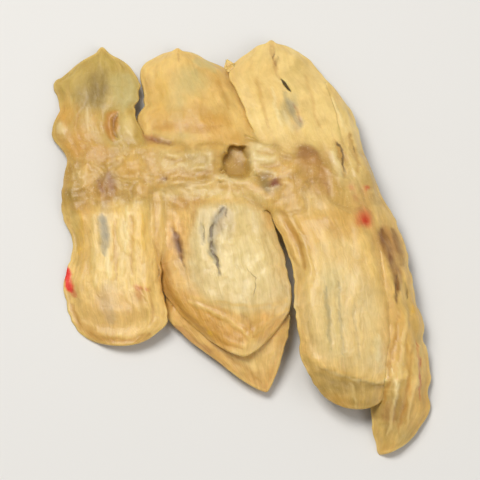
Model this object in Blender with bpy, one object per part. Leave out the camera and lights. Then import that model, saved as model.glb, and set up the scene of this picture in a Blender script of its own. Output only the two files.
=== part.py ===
"""A dried razor clam slab: four opened clams that dried side by side and stuck together at the gut.

Each clam is one thin leathery sheet. Its upper lobe is the mantle, its lower lobe carries the thick foot,
and the lumpy band between them, where the four are fused, is the gut. The band is torn open at one place,
down to the gut's back wall. A flap of mantle hangs out below the second clam's foot. The slab lies on the
floor as a stiff shallow arch, shown side up.

Lengths are millimetres until the mesh is made. X runs across the slab. SEEN runs up the slab as it looks
to an eye that is LOOK_DOWN above the horizon, because that is how the outlines were measured.
"""

import math

import bmesh
import bpy
import numpy as np

MM = 0.001
LOOK_DOWN = math.radians(70)

# The mesh of one clam: rows from end to end, columns from side to side.
ROWS, COLUMNS = 34, 13
FLAP_ROWS, FLAP_COLUMNS = 14, 10
RIBBON_ROWS, RIBBON_COLUMNS = 26, 7
WALL_ROWS, WALL_COLUMNS = 8, 7

# The arch climbs slowly from the left edge to a crest and drops steeply past it. The crest leans with the
# clams: (SEEN, X) down its length. The profile is (X from the crest, height). The droops are the shares
# of that height which are lost at the reach, above and below SEEN 0.
CREST = [(60, 27), (20, 38.5), (-5, 47), (-30, 53.5), (-50, 55.5), (-80, 54)]
PROFILE = [(-122, 1.0), (-102, 3.2), (-66, 10.5), (-34, 15.0), (-10, 17.0), (0, 15.4), (5, 12.0), (14, 1.0)]
UPPER_DROOP, UPPER_REACH = 0.9, 60.0
LOWER_DROOP, LOWER_REACH = 0.85, 80.0

# The gut band, in SEEN, and its lumps.
BAND_TOP, BAND_BOTTOM, BAND_BLUR = 25.0, 3.0, 6.0
LUMP_SIZE, LUMP_HEIGHT = 7.0, 0.9

RIM_THICK, RIM_WIDTH, RIM_BULGE = 1.2, 4.0, 0.4
MANTLE_THICK, GUT_THICK = 1.8, 3.2
TOP_SHARE = 0.7  # how much of the gut's and the foot's extra thickness is on the shown side
FOOT_EDGE = 2.5  # how wide the step down from the foot to the mantle is
FOOT_START = 0.25  # the same on the foot's left side, as a share across
RAGGED_SIZE, RAGGED_DEPTH = 6.0, 0.9
PUCKER_SIZE = 13.0
RIDGE_SIZE, RIDGE_LENGTH, RIDGE_HEIGHT = 5.5, 30.0, 0.55
END_SHARE = 0.5  # a lobe's last row spans this share of its width and follows the round tip
FLOOR_FLAT = 0.5  # how much of the lowest points is flattened, so that the slab rests

# outline: rows of (SEEN, left edge X, right edge X), from the mantle's tip to the foot's.
# top, bottom: (tip X, rounding length, fullness). lift: how far the left and right edge lie over the
# neighbour's. foot: its top in SEEN, how far it stays from the sides and from the tip, where it starts as
# a share across, and its thickness.
CLAMS = {
    "first": {
        "outline": [
            (56, -60, -34), (45.5, -60.5, -32), (40.5, -59.5, -32), (36.5, -59, -34.5), (29, -61.5, -31.5),
            (20, -56.5, -27.5), (11, -58, -26), (1.5, -57, -26.5), (-10, -54.5, -26), (-21.5, -56.5, -25),
            (-32.5, -55, -23), (-43.5, -53.5, -24.5),
        ],
        "top": (-44.5, 12, 1.25), "bottom": (-38, 11, 2.3), "lift": (0.0, 1.2), "cup": 2.0,
        "foot": (2, 2.0, 5.0, -1.0, 1.9), "pucker": 1.1, "seed": 3,
    },
    "second": {
        "outline": [
            (55.8, -30.5, -6.5), (47.5, -30.5, -1.5), (41, -29.5, 3), (37.5, -29.8, 5), (33, -32, 7.5),
            (25, -31, 10), (12.5, -28.5, 11.5), (-2.5, -26, 13), (-16, -26, 17), (-25, -24.5, 19.5),
            (-36, -23, 22), (-47, -22, 22),
        ],
        "top": (-19, 7, 2.0), "bottom": (3.5, 23, 1.4), "lift": (-0.9, -0.7), "cup": 2.4,
        "foot": (3, 1.5, 8.0, -0.5, 2.3), "pucker": 1.0, "seed": 5,
    },
    "third": {
        "outline": [
            (58.5, 1.5, 25.5), (48, -0.5, 30.5), (39, 3, 35), (29, 6.5, 37.5), (15, 9.5, 42.5), (0, 13, 48),
            (-10, 18, 51), (-20, 21, 53.5), (-32.5, 21.5, 56), (-47.5, 23, 56.5), (-64.5, 25, 55.5),
        ],
        "top": (12.5, 12, 2.0), "bottom": (42, 22, 2.2), "lift": (1.4, 1.0), "cup": 2.4,
        "foot": (0, 2.5, 9.0, -1.0, 2.2), "pucker": 0.9, "seed": 8,
    },
    "fourth": {
        "outline": [
            (45, 28.5, 36.5), (33.5, 30.5, 40.5), (20, 34, 44), (0, 40, 53), (-15, 44, 58), (-32.5, 47, 62),
            (-50, 47, 65), (-66, 46.5, 66), (-79.5, 46.5, 64.5),
        ],
        "top": (31, 15, 1.8), "bottom": (49.5, 16, 1.7), "lift": (-2.0, 0.0), "cup": 1.4,
        "foot": (-8, 2.5, 9.0, -1.0, 1.4), "pucker": 1.0, "seed": 13,
    },
}
# The flap hangs below the second clam, by this much at its root, its middle and its tip.
FLAP = {
    "outline": [(-15, -20.5, 13.5), (-30, -22, 18), (-42.5, -20, 19), (-59, -14, 18.5)],
    "top": (-4, 4, 2.0), "bottom": (11, 26, 1.3), "lift": (0.0, 0.0), "cup": 1.0,
    "foot": (-15, 5.0, 8.0, -1.0, 0.3), "pucker": 0.5, "seed": 21, "drop": (1.6, 2.8, 3.6),
}

# The gut ribbon runs across all four clams and fuses them: rows of (X, lower SEEN, upper SEEN).
RIBBON = {
    "outline": [
        (-55, 4, 20), (-46, 2, 22), (-36, 4, 25), (-26, 8, 26), (-14, 9, 24), (-3, 10, 25), (8, 3, 24),
        (18, -1, 27), (29, -4, 25), (38, -6, 19), (46, -9, 12),
    ],
    "sideways": True, "top": (12, 7, 2.0), "bottom": (0, 9, 2.0), "lift": (0.0, 0.0), "cup": 0.6,
    "foot": (0, 1.0, 1.0, -1.0, 0.0), "pucker": 0.3, "seed": 34, "drop": (-0.2, -1.1, -0.2),
}

# The gut's back wall, which lies under the torn hole. It is one plain film, without the gut's lumps.
BACK_WALL = {
    "outline": [(27, -7, 9), (22, -8.5, 10.5), (14, -8.5, 10.5), (8.5, -7, 9)],
    "top": (1, 5, 2.0), "bottom": (1, 5, 2.0), "lift": (3.0, 3.0), "cup": 0.0,
    "foot": (0, 1.0, 1.0, -1.0, 0.0), "pucker": 0.3, "seed": 55, "drop": (1.2, 2.7, 1.2), "gut": 0.0,
}

# Cut right through the sheets above: the torn hole between the second and third clam, and the slit in the
# third one's mantle. Each is (X, SEEN, half length, half width, lean in degrees, raggedness, seed).
CUTS = {
    "torn_hole": (0.9, 17.8, 5.3, 4.1, -8, 0.16, 4),
    "slit": (17.8, 44.2, 2.9, 0.7, -38, 0.0, 6),
}
CUTTER_SIDES = 14
CUTTER_BOTTOM, CUTTER_TOP = -10.0, 30.0

COLOUR = (0.56, 0.36, 0.145, 1.0)
ROUGHNESS = 0.42


def smooth_between(at, known, values):
    """A curve through the values that never overshoots them (Fritsch and Carlson's slopes)."""
    known, values = np.asarray(known, float), np.asarray(values, float)
    if known[0] > known[-1]:
        known, values = known[::-1], values[::-1]
    gaps = np.diff(known)
    slopes = np.diff(values) / gaps
    same_way = slopes[:-1] * slopes[1:] > 0
    total = np.where(same_way, slopes[:-1] + slopes[1:], 1.0)
    inner = np.where(same_way, 2 * slopes[:-1] * slopes[1:] / total, 0.0)
    tangents = np.concatenate([slopes[:1], inner, slopes[-1:]])
    at = np.clip(at, known[0], known[-1])
    k = np.clip(np.searchsorted(known, at, "right") - 1, 0, len(gaps) - 1)
    t = (at - known[k]) / gaps[k]
    bend = (1 - t) * (tangents[k] - slopes[k]) - t * (tangents[k + 1] - slopes[k])
    return values[k] + gaps[k] * (slopes[k] * t + t * (1 - t) * bend)


def step(low, high, at):
    """0 below low, 1 above high, smooth between."""
    t = np.clip((at - low) / (high - low), 0, 1)
    return t * t * (3 - 2 * t)


def wrinkle(x, y, seed, lattice=64):
    """Smooth random relief from -1 to 1, with swells about one unit across."""
    grid = np.random.default_rng(seed).uniform(-1, 1, (lattice, lattice))
    column, row = np.floor(x).astype(int), np.floor(y).astype(int)
    across, up = step(0, 1, x - column), step(0, 1, y - row)

    def corner(right, above):
        return grid[(row + above) % lattice, (column + right) % lattice]

    low = corner(0, 0) * (1 - across) + corner(1, 0) * across
    high = corner(0, 1) * (1 - across) + corner(1, 1) * across
    return low * (1 - up) + high * up


def gut_band(seen):
    """1 in the gut band, 0 in the lobes on both sides of it."""
    above = step(BAND_TOP - BAND_BLUR, BAND_TOP + BAND_BLUR, seen)
    return (1 - above) * step(BAND_BOTTOM - BAND_BLUR, BAND_BOTTOM + BAND_BLUR, seen)


def arch(x, seen):
    """The slab's height over the floor."""
    crest = smooth_between(seen, *zip(*CREST))
    height = smooth_between(x - crest, *zip(*PROFILE))
    upper = UPPER_DROOP * np.clip(seen / UPPER_REACH, 0, None) ** 2
    lower = LOWER_DROOP * np.clip(-seen / LOWER_REACH, 0, 1) ** 2
    return height * (1 - upper - lower)


def in_place(x, seen, height):
    """World points, in mm, that the eye sees at x and seen."""
    y = (seen - height * math.cos(LOOK_DOWN)) / math.sin(LOOK_DOWN)
    return np.stack(np.broadcast_arrays(x, y, height), axis=-1)


def tip_distance(share, length, fullness):
    """How far from a round tip a lobe has reached this share of its width."""
    return length * (1 - (1 - share**fullness) ** (1 / fullness))


def width_share(distance, length, fullness):
    """The share of its width that a lobe has at this distance from its round tip."""
    t = np.clip(distance / length, 0, 1)
    return (1 - (1 - t) ** fullness) ** (1 / fullness)


def clam_plan(clam, rows, columns):
    """Where the grid's points lie: X, SEEN and the share across from -1 to 1.

    Rows run down a clam, and the sideways ribbon's rows run to the right.
    """
    sideways = clam.get("sideways", False)
    outline = np.array(clam["outline"], float) * ((-1, 1, 1) if sideways else (1, 1, 1))
    top, bottom = outline[0, 0], outline[-1, 0]
    ends = {}
    for end in ("top", "bottom"):
        _, length, fullness = clam[end]
        ends[end] = tip_distance(END_SHARE, length, fullness)
    along = np.linspace(0, 1, rows + 1)
    along = 0.6 * along + 0.2 * (1 - np.cos(math.pi * along))
    across = np.linspace(-1, 1, columns + 1)
    across = 0.7 * across + 0.3 * np.sin(across * math.pi / 2)
    row_seen = (top - ends["top"]) * (1 - along) + (bottom + ends["bottom"]) * along

    left = smooth_between(row_seen, outline[:, 0], outline[:, 1])
    right = smooth_between(row_seen, outline[:, 0], outline[:, 2])
    left = left + RAGGED_DEPTH * wrinkle(row_seen / RAGGED_SIZE, 0 * row_seen, clam["seed"])
    right = right + RAGGED_DEPTH * wrinkle(row_seen / RAGGED_SIZE, 0 * row_seen, clam["seed"] + 1)
    seen = np.repeat(row_seen[:, None], columns + 1, 1)
    for end, sign, distance in (("top", 1, top - row_seen), ("bottom", -1, row_seen - bottom)):
        tip, length, fullness = clam[end]
        share = width_share(distance, length, fullness)
        left, right = tip + (left - tip) * share, tip + (right - tip) * share
        row = 0 if end == "top" else -1
        tip_at = np.interp(tip, [left[row], right[row]], [-1, 1])
        aside = (across - tip_at) / np.where(across > tip_at, 1 - tip_at, 1 + tip_at)
        bow = ends[end] - tip_distance(END_SHARE * np.abs(aside), length, fullness)
        fade = 1 - step(0, length, distance - ends[end])
        seen = seen + sign * bow[None, :] * fade[:, None]
    width = right - left
    x = left[:, None] + width[:, None] * (across[None, :] + 1) / 2
    across = np.broadcast_to(across, x.shape)
    return (-seen, x, across) if sideways else (x, seen, across)


def edge_loop(rows, columns):
    """The numbers of the grid's edge points, clockwise from the first."""
    number = np.arange((rows + 1) * (columns + 1)).reshape(rows + 1, columns + 1)
    return np.concatenate([number[0, :-1], number[:-1, -1], number[-1, :0:-1], number[:0:-1, 0]])


def way_in(x, seen, squeeze=1.0):
    """How far each point lies from the sheet's edge, with SEEN squeezed by this factor."""
    edge = edge_loop(x.shape[0] - 1, x.shape[1] - 1)
    aside = x.reshape(-1, 1) - x.reshape(1, -1)[:, edge]
    along = seen.reshape(-1, 1) - seen.reshape(1, -1)[:, edge]
    return np.hypot(aside, along * squeeze).min(1).reshape(x.shape)


def middle_height(clam, x, seen, across):
    """The height of the sheet's middle: the arch, its own cup, its lifted edges and the mantle's waves."""
    lobe = 1 - 0.6 * gut_band(seen)
    lift_left, lift_right = clam["lift"]
    lift = lift_left * step(0.1, 1, -across) + lift_right * step(0.1, 1, across)
    cup = clam["cup"] * (0.5 - across**2)
    mantle = 0.35 + 0.65 * step(BAND_TOP, BAND_TOP + 2 * BAND_BLUR, seen)
    waves = clam["pucker"] * wrinkle(x / PUCKER_SIZE, seen * 0.7 / PUCKER_SIZE, clam["seed"] + 2)
    root, tip = clam["outline"][0][0], clam["outline"][-1][0]
    way = ((x if clam.get("sideways") else seen) - root) / (tip - root)
    drop = smooth_between(way, (0, 0.5, 1), clam.get("drop", (0, 0, 0)))
    return arch(x, seen) + (cup + lift) * lobe + waves * mantle - drop


def foot_mass(clam, x, seen, across):
    """How much thicker the sheet is where the foot lies on it."""
    top, side_margin, tip_margin, start, thick = clam["foot"]
    inside = way_in(x, seen, side_margin / tip_margin) - side_margin
    below = 1 - step(top - FOOT_EDGE, top + FOOT_EDGE, seen)
    return thick * below * step(0, FOOT_EDGE, inside) * step(start, start + FOOT_START, across)


def both_sides(clam, x, seen, across):
    """How far the shown side and the underside lie from the sheet's middle."""
    inner = step(0, RIM_WIDTH, way_in(x, seen))
    sheet = RIM_THICK + (MANTLE_THICK - RIM_THICK) * inner
    lumps = LUMP_HEIGHT * wrinkle(x / LUMP_SIZE, seen / LUMP_SIZE, clam["seed"] + 3)
    gut = gut_band(seen) * inner * (GUT_THICK - MANTLE_THICK + lumps)
    extra = clam.get("gut", 1.0) * gut + foot_mass(clam, x, seen, across)
    ridges = RIDGE_HEIGHT * wrinkle(x / RIDGE_SIZE, seen / RIDGE_LENGTH, clam["seed"] + 4) * inner
    return sheet / 2 + TOP_SHARE * extra + ridges, sheet / 2 + (1 - TOP_SHARE) * extra


def grid_faces(rows, columns):
    """The faces of a closed sheet: the shown side, the underside, and a rim of two strips round them."""
    number = np.arange((rows + 1) * (columns + 1)).reshape(rows + 1, columns + 1)
    edge, count = edge_loop(rows, columns), number.size
    shown = np.stack([number[:-1, :-1], number[1:, :-1], number[1:, 1:], number[:-1, 1:]], -1).reshape(-1, 4)
    rim = 2 * count + np.arange(len(edge))
    following, rim_following = np.roll(edge, -1), np.roll(rim, -1)
    upper = np.stack([edge, following, rim_following, rim], -1)
    lower = np.stack([rim, rim_following, following + count, edge + count], -1)
    return edge, np.concatenate([shown, shown[:, ::-1] + count, upper, lower])


def sheet_object(name, clam, rows, columns):
    """One clam as a closed sheet with a rounded rim."""
    x, seen, across = clam_plan(clam, rows, columns)
    middle = in_place(x, seen, middle_height(clam, x, seen, across))
    normal = np.cross(np.gradient(middle, axis=0), np.gradient(middle, axis=1))
    normal = normal / np.linalg.norm(normal, axis=-1, keepdims=True)
    above, below = both_sides(clam, x, seen, across)
    shown = middle + normal * above[..., None]
    under = middle - normal * below[..., None]

    edge, faces = grid_faces(rows, columns)
    loop = middle.reshape(-1, 3)[edge]
    outward = np.cross(normal.reshape(-1, 3)[edge], np.roll(loop, -1, 0) - np.roll(loop, 1, 0))
    outward = outward / np.linalg.norm(outward, axis=-1, keepdims=True)
    rim = loop + outward * RIM_BULGE * RIM_THICK
    points = np.concatenate([shown.reshape(-1, 3), under.reshape(-1, 3), rim]) * MM
    mesh = bpy.data.meshes.new(name)
    mesh.from_pydata(points.tolist(), [], faces.tolist())
    return bpy.data.objects.new(name, mesh)


def cutter_object(name, cut):
    """A ragged prism along the eye's line."""
    x, seen, half_length, half_width, lean, ragged, seed = cut
    turn = np.linspace(0, 2 * math.pi, CUTTER_SIDES, endpoint=False)
    reach = 1 + ragged * np.random.default_rng(seed).uniform(-1, 1, CUTTER_SIDES)
    along, aside = half_length * reach * np.sin(turn), half_width * reach * np.cos(turn)
    lean = math.radians(lean)
    ring_x = x + aside * math.cos(lean) + along * math.sin(lean)
    ring_seen = seen - aside * math.sin(lean) + along * math.cos(lean)
    low = in_place(ring_x, ring_seen, np.full(CUTTER_SIDES, CUTTER_BOTTOM))
    high = in_place(ring_x, ring_seen, np.full(CUTTER_SIDES, CUTTER_TOP))
    ring = list(range(CUTTER_SIDES))
    walls = [(k, (k + 1) % CUTTER_SIDES, (k + 1) % CUTTER_SIDES + CUTTER_SIDES, k + CUTTER_SIDES) for k in ring]
    caps = [ring[::-1], [k + CUTTER_SIDES for k in ring]]
    mesh = bpy.data.meshes.new(name)
    mesh.from_pydata((np.concatenate([low, high]) * MM).tolist(), [], walls + caps)
    cutter = bpy.data.objects.new(name, mesh)
    cutter.hide_render = True
    cutter.display_type = "WIRE"
    return cutter


def gather(name, objects):
    """A collection in the scene that holds the objects."""
    collection = bpy.data.collections.new(name)
    bpy.context.scene.collection.children.link(collection)
    for item in objects:
        collection.objects.link(item)
    return collection


def combine(target, collection, operation):
    """Join the collection's objects to the target, or cut them from it, and take them away."""
    modifier = target.modifiers.new(operation.title(), "BOOLEAN")
    modifier.operation = operation
    modifier.operand_type = "COLLECTION"
    modifier.collection = collection
    shape = target.evaluated_get(bpy.context.evaluated_depsgraph_get())
    target.data = bpy.data.meshes.new_from_object(shape)
    target.modifiers.clear()
    for item in list(collection.objects):
        bpy.data.objects.remove(item)
    bpy.data.collections.remove(collection)


def keep_largest_body(shape):
    """Drop loose scraps and the inner skins of hollows that the union sealed."""
    unseen = set(shape.verts)
    bodies = []
    while unseen:
        body, waiting = set(), [next(iter(unseen))]
        while waiting:
            vertex = waiting.pop()
            if vertex in unseen:
                unseen.discard(vertex)
                body.add(vertex)
                waiting.extend(edge.other_vert(vertex) for edge in vertex.link_edges)
        bodies.append(body)
    bodies.sort(key=len)
    for body in bodies[:-1]:
        bmesh.ops.delete(shape, geom=list(body), context="VERTS")


def lay_on_floor(shape):
    """Flatten the lowest points, and put the origin under the middle of the slab's box."""
    points = np.array([vertex.co for vertex in shape.verts])
    floor = points[:, 2].min() + FLOOR_FLAT * MM
    points[:, 2] = np.maximum(points[:, 2], floor)
    low, high = points.min(0), points.max(0)
    points -= [(low[0] + high[0]) / 2, (low[1] + high[1]) / 2, floor]
    for vertex, point in zip(shape.verts, points):
        vertex.co = point


def dried_clam_material():
    material = bpy.data.materials.new("dried clam")
    material.use_nodes = True
    shader = material.node_tree.nodes["Principled BSDF"]
    shader.inputs["Base Color"].default_value = COLOUR
    shader.inputs["Roughness"].default_value = ROUGHNESS
    shader.inputs["Metallic"].default_value = 0.0
    return material


def main():
    for item in list(bpy.data.objects):
        bpy.data.objects.remove(item)
    sheets = [sheet_object(name, clam, ROWS, COLUMNS) for name, clam in CLAMS.items()]
    sheets.append(sheet_object("flap", FLAP, FLAP_ROWS, FLAP_COLUMNS))
    sheets.append(sheet_object("ribbon", RIBBON, RIBBON_ROWS, RIBBON_COLUMNS))
    slab, *others = sheets
    bpy.context.scene.collection.objects.link(slab)
    combine(slab, gather("other sheets", others), "UNION")
    combine(slab, gather("cuts", [cutter_object(name, cut) for name, cut in CUTS.items()]), "DIFFERENCE")
    back_wall = sheet_object("back wall", BACK_WALL, WALL_ROWS, WALL_COLUMNS)
    combine(slab, gather("behind the hole", [back_wall]), "UNION")

    shape = bmesh.new()
    shape.from_mesh(slab.data)
    keep_largest_body(shape)
    bmesh.ops.triangulate(shape, faces=shape.faces)
    lay_on_floor(shape)
    shape.to_mesh(slab.data)
    shape.free()
    slab.name = slab.data.name = "dried_razor_clam"
    slab.data.shade_smooth()
    slab.data.materials.clear()
    slab.data.materials.append(dried_clam_material())


main()
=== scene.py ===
"""The looks of the dried razor clam slab: four opened clams that dried side by side, fused at the gut.

The clams' sheets are the same shapes as the CAD part's, made from the same outlines on a fine grid and
joined into a closed skin. The skin then gets its folds, creases and lumps, and the colours of the flesh.

Lengths are millimetres until a mesh is made. X runs across the slab. SEEN runs up the slab as it looks
to an eye that is LOOK_DOWN above the horizon.
"""

import math

import bpy
import numpy as np
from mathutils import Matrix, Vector
from mathutils.bvhtree import BVHTree
from mathutils.kdtree import KDTree


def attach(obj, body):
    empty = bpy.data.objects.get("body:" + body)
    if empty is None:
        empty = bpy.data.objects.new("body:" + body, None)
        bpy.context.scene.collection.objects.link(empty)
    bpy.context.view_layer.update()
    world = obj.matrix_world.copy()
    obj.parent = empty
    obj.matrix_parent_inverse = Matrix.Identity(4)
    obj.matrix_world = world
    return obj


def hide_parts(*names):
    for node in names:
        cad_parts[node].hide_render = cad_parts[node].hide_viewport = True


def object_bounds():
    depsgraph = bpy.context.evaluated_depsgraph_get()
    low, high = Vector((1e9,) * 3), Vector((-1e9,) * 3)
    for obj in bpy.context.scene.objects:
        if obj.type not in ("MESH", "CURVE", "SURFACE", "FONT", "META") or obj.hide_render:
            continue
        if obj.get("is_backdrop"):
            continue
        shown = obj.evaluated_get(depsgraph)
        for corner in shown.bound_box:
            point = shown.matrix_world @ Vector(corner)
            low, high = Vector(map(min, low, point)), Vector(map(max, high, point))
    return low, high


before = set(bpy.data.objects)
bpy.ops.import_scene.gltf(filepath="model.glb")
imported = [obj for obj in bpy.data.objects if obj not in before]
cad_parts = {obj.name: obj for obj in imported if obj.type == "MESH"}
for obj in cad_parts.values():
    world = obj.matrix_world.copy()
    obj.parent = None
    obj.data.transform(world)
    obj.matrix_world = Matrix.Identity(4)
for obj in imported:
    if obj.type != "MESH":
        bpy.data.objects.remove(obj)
cad_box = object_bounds()

MM = 0.001
LOOK_DOWN = math.radians(70)
ORIGIN = (2.16, -12.403, 0.763)  # where the CAD part's origin lies, in the slab's own millimetres

# The rows and columns of a clam's sheet. Its lines lie closer together near the edges, by these shares.
CLAM_GRID = (156, 66)
ROW_CROWDING, COLUMN_CROWDING = 0.4, 0.3

# The arch, as in the CAD part: crest (SEEN, X), profile (X from the crest, height), and the droops.
CREST = [(60, 27), (20, 38.5), (-5, 47), (-30, 53.5), (-50, 55.5), (-80, 54)]
PROFILE = [(-122, 1.0), (-102, 3.2), (-66, 10.5), (-34, 15.0), (-10, 17.0), (0, 15.4), (5, 12.0), (14, 1.0)]
UPPER_DROOP, UPPER_REACH = 0.9, 60.0
LOWER_DROOP, LOWER_REACH = 0.85, 80.0

# The gut band: where it lies in SEEN, how soft its ends are, how much flatter it is, and its lumps.
BAND_TOP, BAND_BOTTOM, BAND_BLUR = 25.0, 3.0, 6.0
BAND_FLATTER = 0.6
LUMP_SIZE, LUMP_HEIGHT = 7.0, 0.9

# A sheet's thickness: at its rim, in the mantle, in the gut, and the share of the extra on the shown side.
RIM_THICK, RIM_WIDTH, RIM_BULGE = 0.8, 3.0, 0.5  # the looks have a thinner rim than the CAD part
MANTLE_THICK, GUT_THICK = 1.8, 3.2
TOP_SHARE = 0.7
FOOT_EDGE, FOOT_START = 2.5, 0.25
THINNEST_FOOT = 0.5

# Relief that every sheet has: a ragged edge with small nicks, waves in its middle, and long ridges.
RAGGED_SIZE, RAGGED_DEPTH = 6.0, 0.9
NICK_SIZE, NICK_DEPTH = 1.7, 0.3  # only the looks have the nicks
PUCKER_SIZE, PUCKER_STRETCH, PUCKER_BELOW = 13.0, 0.7, 0.35
RIDGE_SIZE, RIDGE_LENGTH, RIDGE_HEIGHT = 5.5, 30.0, 0.55
LIFT_START = 0.1
END_SHARE = 0.5

# outline: rows of (SEEN, left edge X, right edge X), from the mantle's tip to the foot's.
# top, bottom: (tip X, rounding length, fullness). lift: how far the left and right edge lie over the
# neighbour's. foot: its top in SEEN, how far it stays from the sides and from the tip, where it starts as
# a share across, and its thickness. cup: how far the middle stands over the sides. pucker: how high its
# waves are. seed: where its random numbers start. A smaller sheet has a grid of its own, drop, which is how
# far it hangs below the arch at its root, middle and tip, and gut, which is 0 where it has none of its lumps.
CLAMS = {
    "first": {
        "outline": [
            (56, -60, -34), (45.5, -60.5, -32), (40.5, -59.5, -32), (36.5, -59, -34.5), (29, -61.5, -31.5),
            (20, -56.5, -27.5), (11, -58, -26), (1.5, -57, -26.5), (-10, -54.5, -26), (-21.5, -56.5, -25),
            (-32.5, -55, -23), (-43.5, -53.5, -24.5),
        ],
        "top": (-44.5, 12, 1.25), "bottom": (-38, 11, 2.3), "lift": (0.0, 1.2), "cup": 2.0,
        "foot": (2, 2.0, 5.0, -1.0, 1.9), "pucker": 1.1, "seed": 3,
    },
    "second": {
        "outline": [
            (55.8, -30.5, -6.5), (47.5, -30.5, -1.5), (41, -29.5, 3), (37.5, -29.8, 5), (33, -32, 7.5),
            (25, -31, 10), (12.5, -28.5, 11.5), (-2.5, -26, 13), (-16, -26, 17), (-25, -24.5, 19.5),
            (-36, -23, 22), (-47, -22, 22),
        ],
        "top": (-19, 7, 2.0), "bottom": (3.5, 23, 1.4), "lift": (-0.9, -0.7), "cup": 2.4,
        "foot": (3, 1.5, 8.0, -0.5, 2.3), "pucker": 1.0, "seed": 5,
    },
    "third": {
        "outline": [
            (58.5, 1.5, 25.5), (48, -0.5, 30.5), (39, 3, 35), (29, 6.5, 37.5), (15, 9.5, 42.5), (0, 13, 48),
            (-10, 18, 51), (-20, 21, 53.5), (-32.5, 21.5, 56), (-47.5, 23, 56.5), (-64.5, 25, 55.5),
        ],
        "top": (12.5, 12, 2.0), "bottom": (42, 22, 2.2), "lift": (1.4, 1.0), "cup": 2.4,
        "foot": (0, 2.5, 9.0, -1.0, 2.2), "pucker": 0.9, "seed": 8,
    },
    "fourth": {
        "outline": [
            (45, 28.5, 36.5), (33.5, 30.5, 40.5), (20, 34, 44), (0, 40, 53), (-15, 44, 58), (-32.5, 47, 62),
            (-50, 47, 65), (-66, 46.5, 66), (-79.5, 46.5, 64.5),
        ],
        "top": (31, 15, 1.8), "bottom": (49.5, 16, 1.7), "lift": (-2.0, 0.0), "cup": 1.4,
        "foot": (-8, 2.5, 9.0, -1.0, 1.4), "pucker": 1.0, "seed": 13,
    },
}
# The flap hangs below the second clam.
FLAP = {
    "outline": [(-15, -20.5, 13.5), (-30, -22, 18), (-42.5, -20, 19), (-59, -14, 18.5)],
    "top": (-4, 4, 2.0), "bottom": (11, 26, 1.3), "lift": (0.0, 0.0), "cup": 1.0,
    "foot": (-15, 5.0, 8.0, -1.0, 0.3), "pucker": 0.5, "seed": 21, "drop": (1.6, 2.8, 3.6), "grid": (60, 50),
}
# The gut ribbon runs across all four clams and fuses them: rows of (X, lower SEEN, upper SEEN).
RIBBON = {
    "outline": [
        (-55, 4, 20), (-46, 2, 22), (-36, 4, 25), (-26, 8, 26), (-14, 9, 24), (-3, 10, 25), (8, 3, 24),
        (18, -1, 27), (29, -4, 25), (38, -6, 19), (46, -9, 12),
    ],
    "sideways": True, "top": (12, 7, 2.0), "bottom": (0, 9, 2.0), "lift": (0.0, 0.0), "cup": 0.6,
    "pucker": 0.3, "seed": 34, "drop": (-0.2, -1.1, -0.2), "grid": (120, 34),
}
# The film that has grown over the seam between the first and the second clam. Torn shreds are of it too.
SEAM_FILM = {
    "outline": [(13, -31, -22), (4, -30.5, -22.5), (-6, -29.5, -22.5), (-16, -28.5, -23)],
    "top": (-27, 4, 2.0), "bottom": (-25.5, 8, 1.6), "lift": (1.1, -0.7), "cup": 0.4,
    "pucker": 0.3, "seed": 61, "drop": (0.0, 0.0, 0.6), "gut": 0.0, "grid": (44, 14),
}
# The gut's back wall, which lies under the torn hole. It is one plain film, without the gut's lumps.
BACK_WALL = {
    "outline": [(27, -7, 9), (22, -8.5, 10.5), (14, -8.5, 10.5), (8.5, -7, 9)],
    "top": (1, 5, 2.0), "bottom": (1, 5, 2.0), "lift": (3.0, 3.0), "cup": 0.0,
    "pucker": 0.3, "seed": 55, "drop": (1.2, 2.7, 1.2), "gut": 0.0, "grid": (24, 20),
}
SHEETS = CLAMS | {"flap": FLAP, "ribbon": RIBBON, "back wall": BACK_WALL, "seam film": SEAM_FILM}
SHEET_NUMBERS = {name: number for number, name in enumerate(SHEETS)}

# Cut right through the sheets above: outlines of (X, SEEN), clockwise. The slit comes to two points.
CUTS = {
    "torn hole": [
        (-1.4, 23.4), (1.4, 22.9), (4.2, 23.5), (4.4, 21.0), (5.6, 18.8), (5.0, 16.2), (5.8, 14.0),
        (3.6, 12.9), (0.8, 12.3), (-1.6, 12.9), (-3.5, 14.1), (-3.1, 16.8), (-3.6, 19.2), (-1.9, 21.0),
    ],
    "slit": [(15.9, 46.6), (17.2, 45.7), (18.6, 43.8), (19.6, 41.9), (18.2, 42.7), (16.8, 44.5)],
}
CUT_STEPS, CUT_WANDER, CUT_SWELL, CUT_SEED = 84, 0.22, 1.1, 90
CUTTER_BOTTOM, CUTTER_TOP = -10.0, 30.0

# Where a rim is drawn out into a nib or pushed in: (X, SEEN, pull across, pull along, reach).
NIBS = {
    "first": [(-44.9, 55.6, -0.2, 1.4, 1.3), (-59.6, 44.4, -0.3, 1.0, 2.2), (-37, 51.5, 0.5, 0.9, 4.0)],
    "second": [(-19.2, 55.4, 0.0, 1.2, 1.2), (-30.4, 51.4, -0.5, 0.7, 2.0), (-8, 53.4, -0.9, -0.6, 4.0)],
    "third": [(12.8, 58.2, 0.0, 1.2, 1.2), (-0.6, 50.8, -1.5, 1.0, 1.5), (5.5, 55.6, 0.3, -0.5, 2.5)],
    "fourth": [(49.6, -79, -0.6, -0.3, 2.0)],
}


# ---- Curves and random relief ----


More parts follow.
